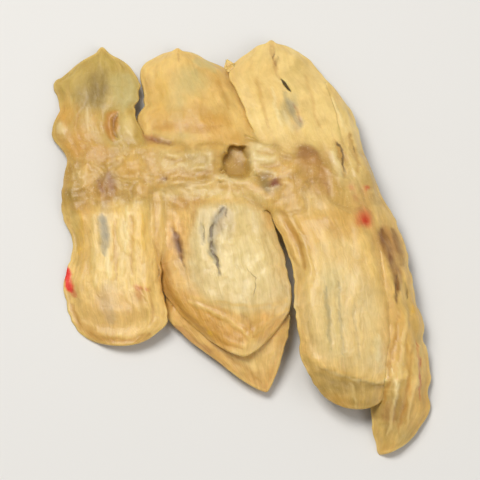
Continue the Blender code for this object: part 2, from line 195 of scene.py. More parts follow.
def smooth_between(at, known, values):
    """A curve through the values that never overshoots them (Fritsch and Carlson's slopes)."""
    known, values = np.asarray(known, float), np.asarray(values, float)
    if known[0] > known[-1]:
        known, values = known[::-1], values[::-1]
    gaps = np.diff(known)
    slopes = np.diff(values) / gaps
    same_way = slopes[:-1] * slopes[1:] > 0
    total = np.where(same_way, slopes[:-1] + slopes[1:], 1.0)
    inner = np.where(same_way, 2 * slopes[:-1] * slopes[1:] / total, 0.0)
    tangents = np.concatenate([slopes[:1], inner, slopes[-1:]])
    at = np.clip(at, known[0], known[-1])
    k = np.clip(np.searchsorted(known, at, "right") - 1, 0, len(gaps) - 1)
    t = (at - known[k]) / gaps[k]
    bend = (1 - t) * (tangents[k] - slopes[k]) - t * (tangents[k + 1] - slopes[k])
    return values[k] + gaps[k] * (slopes[k] * t + t * (1 - t) * bend)


def step(low, high, at):
    """0 below low, 1 above high, smooth between."""
    t = np.clip((at - low) / (high - low), 0, 1)
    return t * t * (3 - 2 * t)


def wrinkle(x, y, seed, lattice=64):
    """Smooth random relief from -1 to 1, with swells about one unit across."""
    grid = np.random.default_rng(seed).uniform(-1, 1, (lattice, lattice))
    column, row = np.floor(x).astype(int), np.floor(y).astype(int)
    across, up = step(0, 1, x - column), step(0, 1, y - row)

    def corner(right, above):
        return grid[(row + above) % lattice, (column + right) % lattice]

    low = corner(0, 0) * (1 - across) + corner(1, 0) * across
    high = corner(0, 1) * (1 - across) + corner(1, 1) * across
    return low * (1 - up) + high * up


LAYERS_SUM = 1.6  # brings the layers together back to about -1 to 1
CREASE_SHARPNESS = 3.2


def turned_layers(x, y, seed, layers, turn, next_turn, next_seed):
    """Each layer's wrinkles, half the size of the last and turned against them, and how fine they are."""
    for layer in range(layers):
        heading, fine = turn + next_turn * layer, 2**layer
        along = x * math.cos(heading) + y * math.sin(heading)
        aside = y * math.cos(heading) - x * math.sin(heading)
        yield wrinkle(along * fine, aside * fine, seed + next_seed * layer), fine


def rough(x, y, seed, layers=3):
    """Wrinkles on wrinkles, each layer half the size and half the height of the last."""
    swells = turned_layers(x, y, seed, layers, 0.6, 1.1, 101)
    return sum(swell / fine for swell, fine in swells) / LAYERS_SUM


def creased(x, y, seed, layers=3):
    """Sharp creases between soft hollows, as in crumpled film, from about -1 to 1."""
    swells = turned_layers(x, y, seed, layers, 0.4, 1.3, 57)
    return sum((1 - CREASE_SHARPNESS * np.abs(swell)) / fine for swell, fine in swells) / LAYERS_SUM


# ---- The sheets, as in the CAD part ----


def gut_band(seen):
    """1 in the gut band, 0 in the lobes on both sides of it."""
    above = step(BAND_TOP - BAND_BLUR, BAND_TOP + BAND_BLUR, seen)
    return (1 - above) * step(BAND_BOTTOM - BAND_BLUR, BAND_BOTTOM + BAND_BLUR, seen)


def arch(x, seen):
    """The slab's height over the floor."""
    crest = smooth_between(seen, *zip(*CREST))
    height = smooth_between(x - crest, *zip(*PROFILE))
    upper = UPPER_DROOP * np.clip(seen / UPPER_REACH, 0, None) ** 2
    lower = LOWER_DROOP * np.clip(-seen / LOWER_REACH, 0, 1) ** 2
    return height * (1 - upper - lower)


def in_place(x, seen, height):
    """World points, in mm, that the eye sees at x and seen."""
    y = (seen - height * math.cos(LOOK_DOWN)) / math.sin(LOOK_DOWN)
    return np.stack(np.broadcast_arrays(x, y, height), axis=-1)


def tip_distance(share, length, fullness):
    """How far from a round tip a lobe has reached this share of its width."""
    return length * (1 - (1 - share**fullness) ** (1 / fullness))


def width_share(distance, length, fullness):
    """The share of its width that a lobe has at this distance from its round tip."""
    t = np.clip(distance / length, 0, 1)
    return (1 - (1 - t) ** fullness) ** (1 / fullness)


def ragged(row_seen, seed):
    """How far a side's edge wanders: the CAD part's raggedness, and small nicks on top."""
    wander = RAGGED_DEPTH * wrinkle(row_seen / RAGGED_SIZE, 0 * row_seen, seed)
    return wander + NICK_DEPTH * wrinkle(row_seen / NICK_SIZE, 0 * row_seen, seed + 40)


def clam_plan(clam):
    """Where the grid's points lie: X, SEEN and the share across from -1 to 1.

    Rows run down a clam, and the sideways ribbon's rows run to the right.
    """
    rows, columns = clam.get("grid", CLAM_GRID)
    sideways = "sideways" in clam
    outline = np.array(clam["outline"], float) * ((-1, 1, 1) if sideways else (1, 1, 1))
    top, bottom = outline[0, 0], outline[-1, 0]
    ends = {}
    for end in ("top", "bottom"):
        _, length, fullness = clam[end]
        ends[end] = tip_distance(END_SHARE, length, fullness)
    along = np.linspace(0, 1, rows + 1)
    along = (1 - ROW_CROWDING) * along + ROW_CROWDING / 2 * (1 - np.cos(math.pi * along))
    across = np.linspace(-1, 1, columns + 1)
    across = (1 - COLUMN_CROWDING) * across + COLUMN_CROWDING * np.sin(across * math.pi / 2)
    row_seen = (top - ends["top"]) * (1 - along) + (bottom + ends["bottom"]) * along

    left = smooth_between(row_seen, outline[:, 0], outline[:, 1]) + ragged(row_seen, clam["seed"])
    right = smooth_between(row_seen, outline[:, 0], outline[:, 2]) + ragged(row_seen, clam["seed"] + 1)
    seen = np.repeat(row_seen[:, None], columns + 1, 1)
    for end, sign, distance in (("top", 1, top - row_seen), ("bottom", -1, row_seen - bottom)):
        tip, length, fullness = clam[end]
        share = width_share(distance, length, fullness)
        left, right = tip + (left - tip) * share, tip + (right - tip) * share
        row = 0 if end == "top" else -1
        tip_at = np.interp(tip, [left[row], right[row]], [-1, 1])
        aside = (across - tip_at) / np.where(across > tip_at, 1 - tip_at, 1 + tip_at)
        bow = ends[end] - tip_distance(END_SHARE * np.abs(aside), length, fullness)
        fade = 1 - step(0, length, distance - ends[end])
        seen = seen + sign * bow[None, :] * fade[:, None]
    width = right - left
    x = left[:, None] + width[:, None] * (across[None, :] + 1) / 2
    across = np.broadcast_to(across, x.shape)
    return (-seen, x, across) if sideways else (x, seen, across)


def pulled(x, seen, nibs):
    """The plan with each nib's pull, which fades with the distance from it."""
    for at_x, at_seen, pull_x, pull_seen, reach in nibs:
        near = np.exp(-((x - at_x) ** 2 + (seen - at_seen) ** 2) / reach**2)
        x, seen = x + pull_x * near, seen + pull_seen * near
    return x, seen


def edge_loop(rows, columns):
    """The numbers of the grid's edge points, clockwise from the first."""
    number = np.arange((rows + 1) * (columns + 1)).reshape(rows + 1, columns + 1)
    return np.concatenate([number[0, :-1], number[:-1, -1], number[-1, :0:-1], number[:0:-1, 0]])


def way_in(x, seen, squeeze=1.0):
    """How far each point lies from the sheet's edge, with SEEN squeezed by this factor."""
    edge = edge_loop(x.shape[0] - 1, x.shape[1] - 1)
    aside = x.reshape(-1, 1) - x.reshape(1, -1)[:, edge]
    along = seen.reshape(-1, 1) - seen.reshape(1, -1)[:, edge]
    return np.hypot(aside, along * squeeze).min(1).reshape(x.shape)


def middle_height(clam, x, seen, across):
    """The height of the sheet's middle: the arch, its own cup, its lifted edges and the mantle's waves."""
    lobe = 1 - BAND_FLATTER * gut_band(seen)
    lift_left, lift_right = clam["lift"]
    lift = lift_left * step(LIFT_START, 1, -across) + lift_right * step(LIFT_START, 1, across)
    cup = clam["cup"] * (0.5 - across**2)
    mantle = PUCKER_BELOW + (1 - PUCKER_BELOW) * step(BAND_TOP, BAND_TOP + 2 * BAND_BLUR, seen)
    waves = clam["pucker"] * wrinkle(x / PUCKER_SIZE, seen * PUCKER_STRETCH / PUCKER_SIZE, clam["seed"] + 2)
    root, tip = clam["outline"][0][0], clam["outline"][-1][0]
    way = ((x if "sideways" in clam else seen) - root) / (tip - root)
    drop = smooth_between(way, (0, 0.5, 1), clam.get("drop", (0, 0, 0)))
    return arch(x, seen) + (cup + lift) * lobe + waves * mantle - drop


def foot_mass(clam, x, seen, across):
    """How much thicker the sheet is where the foot lies on it."""
    if "foot" not in clam:
        return np.zeros(x.shape)
    top, side_margin, tip_margin, start, thick = clam["foot"]
    inside = way_in(x, seen, side_margin / tip_margin) - side_margin
    below = 1 - step(top - FOOT_EDGE, top + FOOT_EDGE, seen)
    return thick * below * step(0, FOOT_EDGE, inside) * step(start, start + FOOT_START, across)


def grid_faces(rows, columns):
    """The faces of a closed sheet: the shown side, the underside, and a rim of two strips round them."""
    number = np.arange((rows + 1) * (columns + 1)).reshape(rows + 1, columns + 1)
    edge, count = edge_loop(rows, columns), number.size
    shown = np.stack([number[:-1, :-1], number[1:, :-1], number[1:, 1:], number[:-1, 1:]], -1).reshape(-1, 4)
    rim = 2 * count + np.arange(len(edge))
    following, rim_following = np.roll(edge, -1), np.roll(rim, -1)
    upper = np.stack([edge, following, rim_following, rim], -1)
    lower = np.stack([rim, rim_following, following + count, edge + count], -1)
    return edge, np.concatenate([shown, shown[:, ::-1] + count, upper, lower])


# What the skin's points know: their sheet's number, how far they lie in from its rim and across their
# clam, how much of a foot they lie on, and their side, from 1 on the shown side to -1 on the underside.
FACTS = ("sheet", "inset", "aside", "flesh", "side")
FAR_INSIDE = 9.0  # the inset of points that no rim is near
UNDER_FLESH = 0.5  # how much of the foot the underside shows


def add_fact(mesh, fact, values):
    mesh.attributes.new(fact, "FLOAT", "POINT").data.foreach_set("value", values.astype(np.float32))


def sheet_normals(middle):
    normal = np.cross(np.gradient(middle, axis=0), np.gradient(middle, axis=1))
    return normal / np.linalg.norm(normal, axis=-1, keepdims=True)


def closed_sheet(name, middle, above, below, rim_reach, facts):
    """A sheet round its middle points, with a rounded rim and its points' facts."""
    normal = sheet_normals(middle)
    edge, faces = grid_faces(middle.shape[0] - 1, middle.shape[1] - 1)
    loop = middle.reshape(-1, 3)[edge]
    outward = np.cross(normal.reshape(-1, 3)[edge], np.roll(loop, -1, 0) - np.roll(loop, 1, 0))
    outward = outward / np.linalg.norm(outward, axis=-1, keepdims=True)
    shown = (middle + normal * above[..., None]).reshape(-1, 3)
    under = (middle - normal * below[..., None]).reshape(-1, 3)
    points = np.concatenate([shown, under, loop + outward * rim_reach])
    mesh = bpy.data.meshes.new(name)
    mesh.from_pydata(((points - ORIGIN) * MM).tolist(), [], faces.tolist())
    for fact, values in facts.items():
        flat = values.reshape(-1)
        below_share = UNDER_FLESH if fact == "flesh" else 1
        add_fact(mesh, fact, np.concatenate([flat, flat * below_share, flat[edge]]))
    add_fact(mesh, "side", np.repeat([1, -1, 0], [len(shown), len(under), len(edge)]))
    return bpy.data.objects.new(name, mesh)


def sheet_object(name):
    """One clam, or one of the smaller sheets, as a closed sheet."""
    clam = SHEETS[name]
    sideways = "sideways" in clam
    x, seen, across = clam_plan(clam)
    x, seen = pulled(x, seen, NIBS.get(name, ()))
    middle = in_place(x, seen, middle_height(clam, x, seen, across))
    inset = way_in(x, seen)
    inner = step(0, RIM_WIDTH, inset)
    sheet = RIM_THICK + (MANTLE_THICK - RIM_THICK) * inner
    lumps = LUMP_HEIGHT * wrinkle(x / LUMP_SIZE, seen / LUMP_SIZE, clam["seed"] + 3)
    foot = foot_mass(clam, x, seen, across)
    gut = gut_band(seen) * inner * (GUT_THICK - MANTLE_THICK + lumps)
    extra = clam.get("gut", 1.0) * gut + foot
    ridges = RIDGE_HEIGHT * wrinkle(x / RIDGE_SIZE, seen / RIDGE_LENGTH, clam["seed"] + 4) * inner
    above = sheet / 2 + TOP_SHARE * extra + ridges
    below = sheet / 2 + (1 - TOP_SHARE) * extra

    half_width = 0.5 * (x.max(1) - x.min(1)).mean()
    foot_thick = clam["foot"][-1] if "foot" in clam else 0
    facts = {
        "sheet": np.full(x.shape, float(SHEET_NUMBERS[name])),
        "inset": np.full(x.shape, FAR_INSIDE) if sideways else inset,
        "aside": x if sideways else across * half_width,
        "flesh": foot / max(foot_thick, THINNEST_FOOT),
    }
    return closed_sheet(name, middle, above, below, RIM_BULGE * RIM_THICK, facts)


CUTTER_MARK = -1.0  # what every fact of a cutter's points is


def cutter_object(name, outline):
    """A prism along the eye's line, with a slightly ragged side."""
    corners = np.array(outline[:1] + outline[::-1], float)
    reached = np.concatenate([[0], np.cumsum(np.hypot(*np.diff(corners, axis=0).T))])
    way = np.linspace(0, reached[-1], CUT_STEPS, endpoint=False)
    x, seen = (np.interp(way, reached, corners[:, axis]) for axis in range(2))
    wander = CUT_WANDER * wrinkle(x / CUT_SWELL, seen / CUT_SWELL, CUT_SEED)
    ends = [in_place(x + wander, seen - wander, height) for height in (CUTTER_BOTTOM, CUTTER_TOP)]
    low, high = np.arange(CUT_STEPS), np.arange(CUT_STEPS) + CUT_STEPS
    walls = np.column_stack([low, np.roll(low, -1), np.roll(high, -1), high]).tolist()
    mesh = bpy.data.meshes.new(name)
    points = (np.concatenate(ends) - ORIGIN) * MM
    mesh.from_pydata(points.tolist(), [], walls + [low[::-1].tolist(), high.tolist()])
    for fact in FACTS:
        add_fact(mesh, fact, np.full(2 * CUT_STEPS, CUTTER_MARK))
    return bpy.data.objects.new(name, mesh)


def combine(target, objects, operation):
    """Join the objects to the target, or cut them from it, and take them away."""
    collection = bpy.data.collections.new("joined")
    bpy.context.scene.collection.children.link(collection)
    for item in objects:
        collection.objects.link(item)
    modifier = target.modifiers.new(operation.title(), "BOOLEAN")
    modifier.operation = operation
    modifier.operand_type = "COLLECTION"
    modifier.collection = collection
    modifier.solver = "MANIFOLD"
    shape = target.evaluated_get(bpy.context.evaluated_depsgraph_get())
    target.data = bpy.data.meshes.new_from_object(shape)
    target.modifiers.clear()
    for item in objects:
        bpy.data.objects.remove(item)
    bpy.data.collections.remove(collection)


# ---- The skin as arrays ----


def read_vectors(items, field):
    """The place or the normal of every item, as rows of three numbers."""
    values = np.empty(len(items) * 3, np.float32)
    items.foreach_get(field, values)
    return values.reshape(-1, 3).astype(float)


def read_points(mesh):
    return read_vectors(mesh.vertices, "co")


def read_facts(mesh):
    facts = {}
    for name in FACTS:
        values = np.empty(len(mesh.vertices), np.float32)
        mesh.attributes[name].data.foreach_get("value", values)
        facts[name] = values.astype(float)
    return facts


def write_facts(mesh, facts):
    for name, values in facts.items():
        mesh.attributes[name].data.foreach_set("value", values.astype(np.float32))


def write_points(mesh, places):
    mesh.vertices.foreach_set("co", places.astype(np.float32).ravel())
    mesh.update()


def fill_cut_walls(mesh):
    """The points that a cutter left take what the nearest point of the sheets knows."""
    places = read_points(mesh)
    facts = read_facts(mesh)
    from_cutter = facts["sheet"] < 0.01 * CUTTER_MARK
    tree = KDTree(len(places))
    for number in np.flatnonzero(~from_cutter):
        tree.insert(places[number], int(number))
    tree.balance()
    for number in np.flatnonzero(from_cutter):
        _, nearest, _ = tree.find(places[number])
        for values in facts.values():
            values[number] = values[nearest]
    write_facts(mesh, facts)


def edges_of(mesh):
    edges = np.empty(len(mesh.edges) * 2, np.int32)
    mesh.edges.foreach_get("vertices", edges)
    return edges.reshape(-1, 2)


def smoothed(places, edges, share, rounds):
    """Move each point towards the middle of its neighbours, by its share, this many times."""
    count = len(places)
    near = np.bincount(edges.ravel(), minlength=count)[:, None]
    for _ in range(rounds):
        total = np.zeros_like(places)
        for axis in range(places.shape[1]):
            total[:, axis] += np.bincount(edges[:, 0], places[edges[:, 1], axis], count)
            total[:, axis] += np.bincount(edges[:, 1], places[edges[:, 0], axis], count)
        places = places + share[:, None] * (total / near - places)
    return places


# ---- Marks: stains, creases and folds, each in its own place ----

# The colours of the flesh, as they look under a plain white light.
COLOURS = {
    "straw": (236, 200, 124),
    # pale and shade also serve as painted highlight on crests and rims and painted shade in hollows
    "pale": (252, 222, 148),
    "shade": (180, 138, 68),
    "butter": (242, 208, 136),
    "cream": (238, 214, 156),
    "white": (250, 236, 196),
    "amber": (222, 172, 84),
    "honey": (198, 144, 62),
    "orange": (210, 132, 50),
    "moss": (200, 174, 98),
    "olive": (150, 126, 68),
    "grey": (176, 160, 122),
    "slate": (146, 140, 122),
    "lilac": (200, 182, 166),
    "sage": (206, 194, 142),
    "peach": (234, 188, 112),
    "apricot": (222, 176, 102),
    "ochre": (188, 156, 84),
    "gold": (176, 146, 66),
    "toffee": (216, 170, 90),
    "wheat": (238, 196, 124),
    "lemon": (250, 224, 160),
    "ivory": (240, 221, 176),
    "mauve": (180, 120, 74),
    "plum": (142, 74, 24),
    "brown": (134, 84, 28),
    "dark": (84, 50, 14),
    "tan": (196, 146, 84),
    "pink": (230, 192, 128),
    "red": (208, 60, 30),
    "scarlet": (236, 44, 18),
    "yellow": (236, 190, 70),
}

# Each sheet's own colours: its mantle, the thick foot, and the thin flesh round the foot.
SHEET_COLOURS = {
    "first": ("moss", "butter", "butter"),
    "second": ("butter", "ivory", "peach"),
    "third": ("lemon", "butter", "butter"),
    "fourth": ("lemon", "butter", "straw"),
    "flap": ("wheat", "wheat", "wheat"),
    "ribbon": ("straw", "straw", "straw"),
    "back wall": ("gold", "gold", "gold"),
    "seam film": ("butter", "butter", "butter"),
}

# The second clam's foot, which dried white and chalky.
CHALKY_FOOT = [
    (-9, 2), (-4, 4.5), (4, 3), (10, -0.5), (13.5, -6), (17, -15), (19.5, -24), (22, -30),
    (17, -33.5), (9, -32), (1, -31.5), (-8, -28.5), (-15, -23), (-17, -14), (-13.5, -4),
]

# An area is (colour, how strong, how soft its edge is, its outline).
AREAS = [
    # the first clam's mantle, olive in the middle, sage to the right, amber to the lower left
    (
        "moss", 0.4, 3.0,
        [(-53, 46), (-47, 51), (-41, 52), (-35, 48), (-33, 42), (-36, 37), (-44, 35), (-52, 38)],
    ),
    ("olive", 0.4, 2.5, [(-51, 47), (-44, 50), (-43, 43), (-46, 37), (-52, 36), (-56, 41)]),
    ("sage", 0.8, 2.0, [(-42, 48), (-36, 49), (-33, 46), (-33, 39), (-37, 36), (-41, 40)]),
    ("apricot", 0.5, 3.0, [(-60, 34), (-54, 36), (-50, 28), (-49, 20), (-56, 19), (-61, 28)]),
    # the second clam's chalky foot, the peach film below it and the amber fold round it
    ("ivory", 0.75, 2.6, CHALKY_FOOT),
    ("sage", 0.3, 4.0, [(-10, 0), (0, 2), (6, -5), (8, -15), (4, -24), (-4, -22), (-12, -12)]),
    ("white", 0.2, 3.0, [(0, -10), (12, -8), (19, -22), (14, -29), (0, -27)]),
    (
        "amber", 0.6, 1.6,
        [(-25, -12), (-22, -22), (-12, -30), (-4, -35), (4, -41), (5, -48), (-6, -43), (-24, -30)],
    ),
    # the first and the third foot, paler in the middle
    ("lemon", 0.5, 3.0, [(-49, 2), (-29, 4), (-28, -20), (-34, -27), (-47, -24)]),
    (
        "ivory", 0.55, 3.5,
        [(24, -22), (34, -15), (46, -22), (53, -40), (52, -54), (40, -52), (28, -47), (23, -35)],
    ),
    ("sage", 0.35, 2.0, [(30, -18), (36, -17), (37.5, -47), (31, -45)]),
    ("lemon", 0.4, 1.6, [(24, -20), (28, -20), (29.5, -40), (25, -38)]),
    # the third clam's film, which shows what is under it
    (
        "ochre", 0.65, 0.6,
        [(23, -46), (28, -50), (34.5, -52.3), (41, -54), (49, -56), (58, -54.5), (58, -68), (30, -68)],
    ),
]


def plain(colour):
    """The shader's own number for each channel of a colour."""
    share = np.array(COLOURS[colour]) / 255
    return np.where(share > 0.04045, ((share + 0.055) / 1.055) ** 2.4, share / 12.92)


# A streak is (colour, how strong, height in mm, half width, the line that it follows).
STREAKS = [
    # the first clam
    ("olive", 0.35, -0.2, 1.3, [(-48, 47), (-47.4, 42), (-48, 38)]),
    ("olive", 0.3, -0.15, 1.3, [(-43.5, 50), (-44.5, 45), (-44.2, 41)]),
    ("moss", 0.35, -0.2, 0.9, [(-38.5, 48), (-38, 40)]),
    # a painted highlight along a ridge of the mantle
    ("white", 0.3, 0.15, 1.0, [(-49.8, 37), (-49.4, 29)]),
    ("honey", 0.3, -0.2, 0.9, [(-53, 38), (-53.5, 31), (-52, 25)]),
    ("honey", 0.8, 0.5, 1.5, [(-39.6, 35), (-42.2, 33.4), (-43, 30.5), (-41.8, 27.6), (-40, 26)]),
    ("brown", 0.6, -0.9, 0.9, [(-39.0, 34), (-40.6, 32.2), (-41.0, 29), (-39.4, 27)]),
    ("plum", 0.45, -0.3, 1.2, [(-46, 12.5), (-44.5, 8)]),
    ("plum", 0.35, 0.2, 1.3, [(-42.5, 14.5), (-41.5, 9)]),
    ("lilac", 0.3, 0.0, 3.2, [(-42.4, -22), (-42, -30), (-41, -36)]),
    ("moss", 0.4, -0.3, 1.3, [(-54.5, 2), (-53.5, -6), (-52.5, -12)]),
    ("lilac", 0.3, -0.1, 2.3, [(-43.6, 4), (-43.6, 0), (-43.2, -8)]),
    ("scarlet", 1.3, 0.15, 1.7, [(-56.6, -17), (-56.0, -21.5), (-54.4, -25.5)]),
    ("red", 0.7, 0.0, 1.0, [(-54.6, -24.5), (-53.4, -27.5)]),
    ("slate", 0.7, -0.25, 2.3, [(-44.4, 0), (-43.8, -6), (-43.2, -13)]),
    ("white", 0.5, 0.2, 1.3, [(-43, -12), (-42, -18), (-41.5, -21)]),
    ("cream", 0.5, 0.35, 1.1, [(-47.5, 0), (-47.2, -14), (-46.5, -24)]),
    ("white", 0.4, 0.3, 0.7, [(-35.8, 4), (-36.2, -4), (-36, -12)]),
    ("yellow", 0.4, 0.2, 1.4, [(-52, 2), (-51.4, -6), (-51.8, -13)]),
    ("cream", 0.6, 0.4, 1.2, [(-38, -1), (-37.5, -10), (-37.8, -20)]),
    ("honey", 0.4, -0.35, 0.8, [(-40, -1), (-39.8, -12), (-39.5, -22)]),
    ("honey", 0.35, -0.35, 0.8, [(-34.5, 0), (-34, -10), (-34.5, -20)]),
    ("yellow", 0.3, 0.25, 1.0, [(-31.5, 2), (-31, -8), (-30.5, -16)]),
    ("honey", 0.5, -0.2, 1.7, [(-54.5, -30), (-51.5, -37), (-45, -41.5), (-35, -42.5), (-28, -40)]),
    ("tan", 0.4, -0.3, 0.7, [(-28.5, -24), (-27.2, -32), (-28, -38)]),
    # the seam between the first and the second
    ("honey", 0.4, -0.5, 1.0, [(-27.2, 6), (-26, -6), (-25.8, -14), (-25.2, -21), (-23.5, -28)]),
    ("butter", 0.5, 0.4, 1.0, [(-25, 8), (-24.2, -2), (-24, -10)]),
    # the second clam
    ("sage", 0.6, 0.0, 1.8, [(-14, 53), (-9, 51.5), (-6, 49)]),
    ("toffee", 0.4, 0.0, 2.2, [(-12, 50), (-7, 47.5), (-4, 44)]),
    ("honey", 0.4, -0.1, 1.8, [(-27, 30), (-20, 30.5), (-12, 29), (-4, 30)]),
    ("honey", 0.35, -0.2, 1.2, [(-5.5, 46), (-3.5, 41), (-1, 36)]),
    ("mauve", 0.45, -0.1, 0.5, [(-19.2, 55), (-19, 52.6)]),
    ("plum", 0.9, -0.9, 1.1, [(-28.5, 26.3), (-25, 24.9), (-21, 24.2)]),
    ("mauve", 0.6, 0.4, 1.4, [(-31, 27.2), (-28, 26.6), (-24, 26.2)]),
    ("white", 0.4, 0.5, 0.8, [(-26, 26.6), (-22, 25.4)]),
    ("cream", 0.5, 0.35, 1.0, [(-26, 22.5), (-21, 20.4), (-15, 21.4), (-9, 20.6), (-6, 21.5)]),
    ("tan", 0.5, -0.3, 0.6, [(-24, 19.8), (-19, 18.2), (-14, 19.3)]),
    ("cream", 0.5, 0.25, 1.2, [(-22, 16.5), (-17, 17.2), (-10, 16.2)]),
    ("tan", 0.4, -0.35, 0.8, [(-18, 14.6), (-13, 13.6), (-7, 15)]),
    (
        "white", 0.45, 0.3, 0.7,
        [(-23, 11.2), (-18, 10.4), (-12.5, 10.3), (-8, 11), (-5, 12.6), (0, 12), (4, 12.6)],
    ),
    ("honey", 0.4, -0.3, 1.2, [(-10, 10), (-12.5, 4), (-14, -4)]),
    # painted light: a pale streak that lightens the shade in the groove under the gut band's lower edge
    ("cream", 0.7, 0.0, 2.4, [(-25, 8), (-14, 7.6), (-4, 8), (6, 7.4), (12, 4)]),
    ("brown", 0.75, -0.15, 1.8, [(-19.6, -5.6), (-18.6, -10), (-17.6, -14.4)]),
    ("dark", 0.5, -0.1, 1.0, [(-18.8, -9), (-18, -12.6)]),
    ("brown", 0.5, -0.3, 0.7, [(-20.6, -3.4), (-20, -7)]),
    ("brown", 0.5, -0.3, 0.6, [(-17.2, -14), (-16.6, -18)]),
    ("lilac", 0.5, 0.0, 2.6, [(-2.5, 2.5), (-5.5, -2), (-6.5, -8), (-6, -13)]),
    ("slate", 0.55, -0.5, 1.5, [(-3.4, 3), (-6.2, -1.5), (-7.4, -6), (-7.0, -12.6), (-5, -17)]),
    ("slate", 0.35, -0.3, 1.1, [(-10.6, -3), (-10.2, -10)]),
    ("white", 0.5, 0.4, 1.0, [(-1, -3), (-4.5, -9), (-4.8, -14)]),
    ("honey", 0.4, -0.3, 0.9, [(-24, -14), (-22, -24), (-17.5, -32), (-10, -38.5), (-3, -43), (3, -44.5)]),
    ("honey", 0.4, -0.1, 1.2, [(-9, -35.5), (-3, -39.6), (3, -43.2)]),
    ("yellow", 0.8, 0.1, 0.8, [(-8.6, -38.6), (-7.2, -39.8)]),
    ("butter", 0.5, 0.4, 0.8, [(-15, -29), (-9, -31.8), (-2, -35), (4, -39)]),
    ("butter", 0.4, 0.3, 0.7, [(10, -39), (14, -34.5), (18, -32)]),
    ("tan", 0.3, -0.3, 0.7, [(3, -33), (6, -36.5), (6.5, -41)]),
    # the flap
    ("mauve", 0.5, -0.2, 1.4, [(-20, -37), (-14, -42), (-8, -46)]),
    ("honey", 0.35, -0.2, 1.0, [(-2, -47), (5, -52), (9, -56)]),
    ("straw", 0.3, 0.25, 1.0, [(2, -46), (9, -49), (14, -46)]),
    # round the torn hole
    ("white", 0.6, 1.0, 1.1, [(5.6, 24), (6.8, 20.5), (6.2, 17.5), (7.5, 14.5)]),
    ("white", 0.6, 0.9, 1.1, [(5, 24.5), (9, 23.4), (12.5, 22.6)]),
    ("amber", 0.6, -0.7, 0.9, [(7.6, 21.8), (10, 20.8), (13, 20.4)]),
    ("white", 0.5, 0.8, 1.0, [(7.8, 19), (11, 18.6), (14.5, 19.4)]),
    ("honey", 0.6, -0.7, 0.9, [(9, 17), (12, 16.4), (15, 17)]),
    ("white", 0.5, 0.8, 0.9, [(9, 15), (12, 14.4), (14.6, 13.6)]),
    ("cream", 0.6, 0.5, 0.9, [(12.4, 8.6), (14.4, 8.8), (16, 9.8)]),
    ("white", 0.6, 0.7, 0.9, [(-6, 12.2), (-3.6, 13.2), (-2, 11.9), (2.5, 11.2), (5.6, 12), (7.4, 13.6)]),
    ("amber", 0.5, -0.4, 1.0, [(-6, 9.4), (0, 9), (6, 9.6)]),
    ("white", 0.5, 0.7, 0.9, [(-9, 23.5), (-7.4, 20.5), (-8.2, 17.5)]),
    ("honey", 0.4, -0.5, 0.9, [(-6.6, 22.5), (-5.6, 19), (-5.8, 16)]),
    # the third clam
    ("brown", 0.5, -0.3, 0.7, [(15, 54.5), (14.6, 50.5)]),
    ("tan", 0.4, -0.3, 0.7, [(13.4, 58), (14.2, 50), (16, 46)]),
    ("slate", 0.5, -0.25, 1.4, [(17.2, 41.6), (18.8, 38), (20.6, 34), (22.8, 30)]),
    ("mauve", 0.5, -0.25, 0.6, [(20.2, 38.6), (21.4, 35), (23, 31.4)]),
    ("white", 0.4, 0.15, 1.2, [(17.2, 35), (18.6, 31.5), (20.6, 28.5)]),
    ("mauve", 0.4, -0.1, 0.6, [(13, 57.8), (13.2, 53)]),
    ("white", 0.4, 0.3, 0.8, [(13, 44), (14.5, 36), (16, 30)]),
    ("honey", 0.3, -0.25, 0.9, [(8, 47), (9.5, 38), (12, 30)]),
    ("honey", 0.3, -0.25, 0.9, [(24.5, 48), (27, 38), (29, 30)]),
    ("plum", 0.5, 0.4, 1.2, [(21.5, 20.5), (23, 23.3), (26, 23.5), (28, 21), (28.6, 17)]),
    ("tan", 0.7, -0.3, 1.6, [(28.5, 19), (30.5, 13), (32, 7)]),
    ("honey", 0.5, -0.6, 1.4, [(34.2, 25), (36.4, 22), (37.2, 17.5), (37.6, 13)]),
    ("white", 0.5, 0.5, 1.2, [(33, 22), (35, 16), (36, 11)]),
    ("honey", 0.4, -0.4, 1.2, [(39.2, 28), (41, 20), (42, 15)]),
    ("straw", 0.5, 0.7, 1.5, [(10.5, 6), (14, 0), (18, -8), (21.5, -16)]),
    ("honey", 0.45, -0.4, 1.2, [(14, 5), (18, -2), (22, -10), (24, -18)]),
    ("slate", 0.35, -0.3, 0.8, [(31, -24), (31.5, -34), (32.5, -46)]),
    ("slate", 0.3, -0.3, 0.7, [(35, -22), (35.6, -34), (36.5, -47)]),
    ("grey", 0.3, -0.25, 0.8, [(40, -26), (41, -38), (42, -48)]),
    ("cream", 0.4, 0.25, 0.9, [(33.4, -26), (34, -38), (35, -48)]),
    ("white", 0.5, 0.3, 1.6, [(48, -40), (48.6, -49)]),
    # a painted highlight along the edge of the third clam's foot, over its thin tip
    (
        "white", 0.35, 0.5, 0.6,
        [(27.5, -50.5), (33.5, -52.5), (37.5, -54), (42.5, -55.2), (47.5, -56), (53, -54.6)],
    ),
    ("olive", 0.25, -0.2, 1.3, [(27, -53), (33, -55), (40, -57), (47, -58), (52, -57)]),
    ("cream", 0.4, 0.3, 0.8, [(39, -56), (40.5, -61), (41, -66)]),
    # the edge of the third clam over the fourth, with a painted highlight along it
    ("white", 0.4, 0.4, 0.7, [(33.5, 40), (36, 34), (38, 28)]),
    # the fourth clam
    ("tan", 0.6, -0.2, 3.0, [(50, -4), (53, -12.5), (56, -22)]),
    ("brown", 0.7, -0.3, 1.9, [(49.5, -5), (52.0, -12.5), (54.2, -19), (55.2, -25)]),
    ("brown", 0.5, -0.2, 1.4, [(53.5, -4), (55.6, -11), (57, -17)]),
    ("brown", 0.5, -0.2, 1.2, [(54.4, -22), (54.8, -29)]),
    ("dark", 0.3, -0.2, 0.7, [(57.6, -23), (58.2, -28)]),
    ("pink", 0.5, 0.2, 1.8, [(48, -13), (50.5, -19), (52.5, -25)]),
    ("pink", 0.5, 0.2, 1.6, [(53.5, -28), (55.5, -35)]),
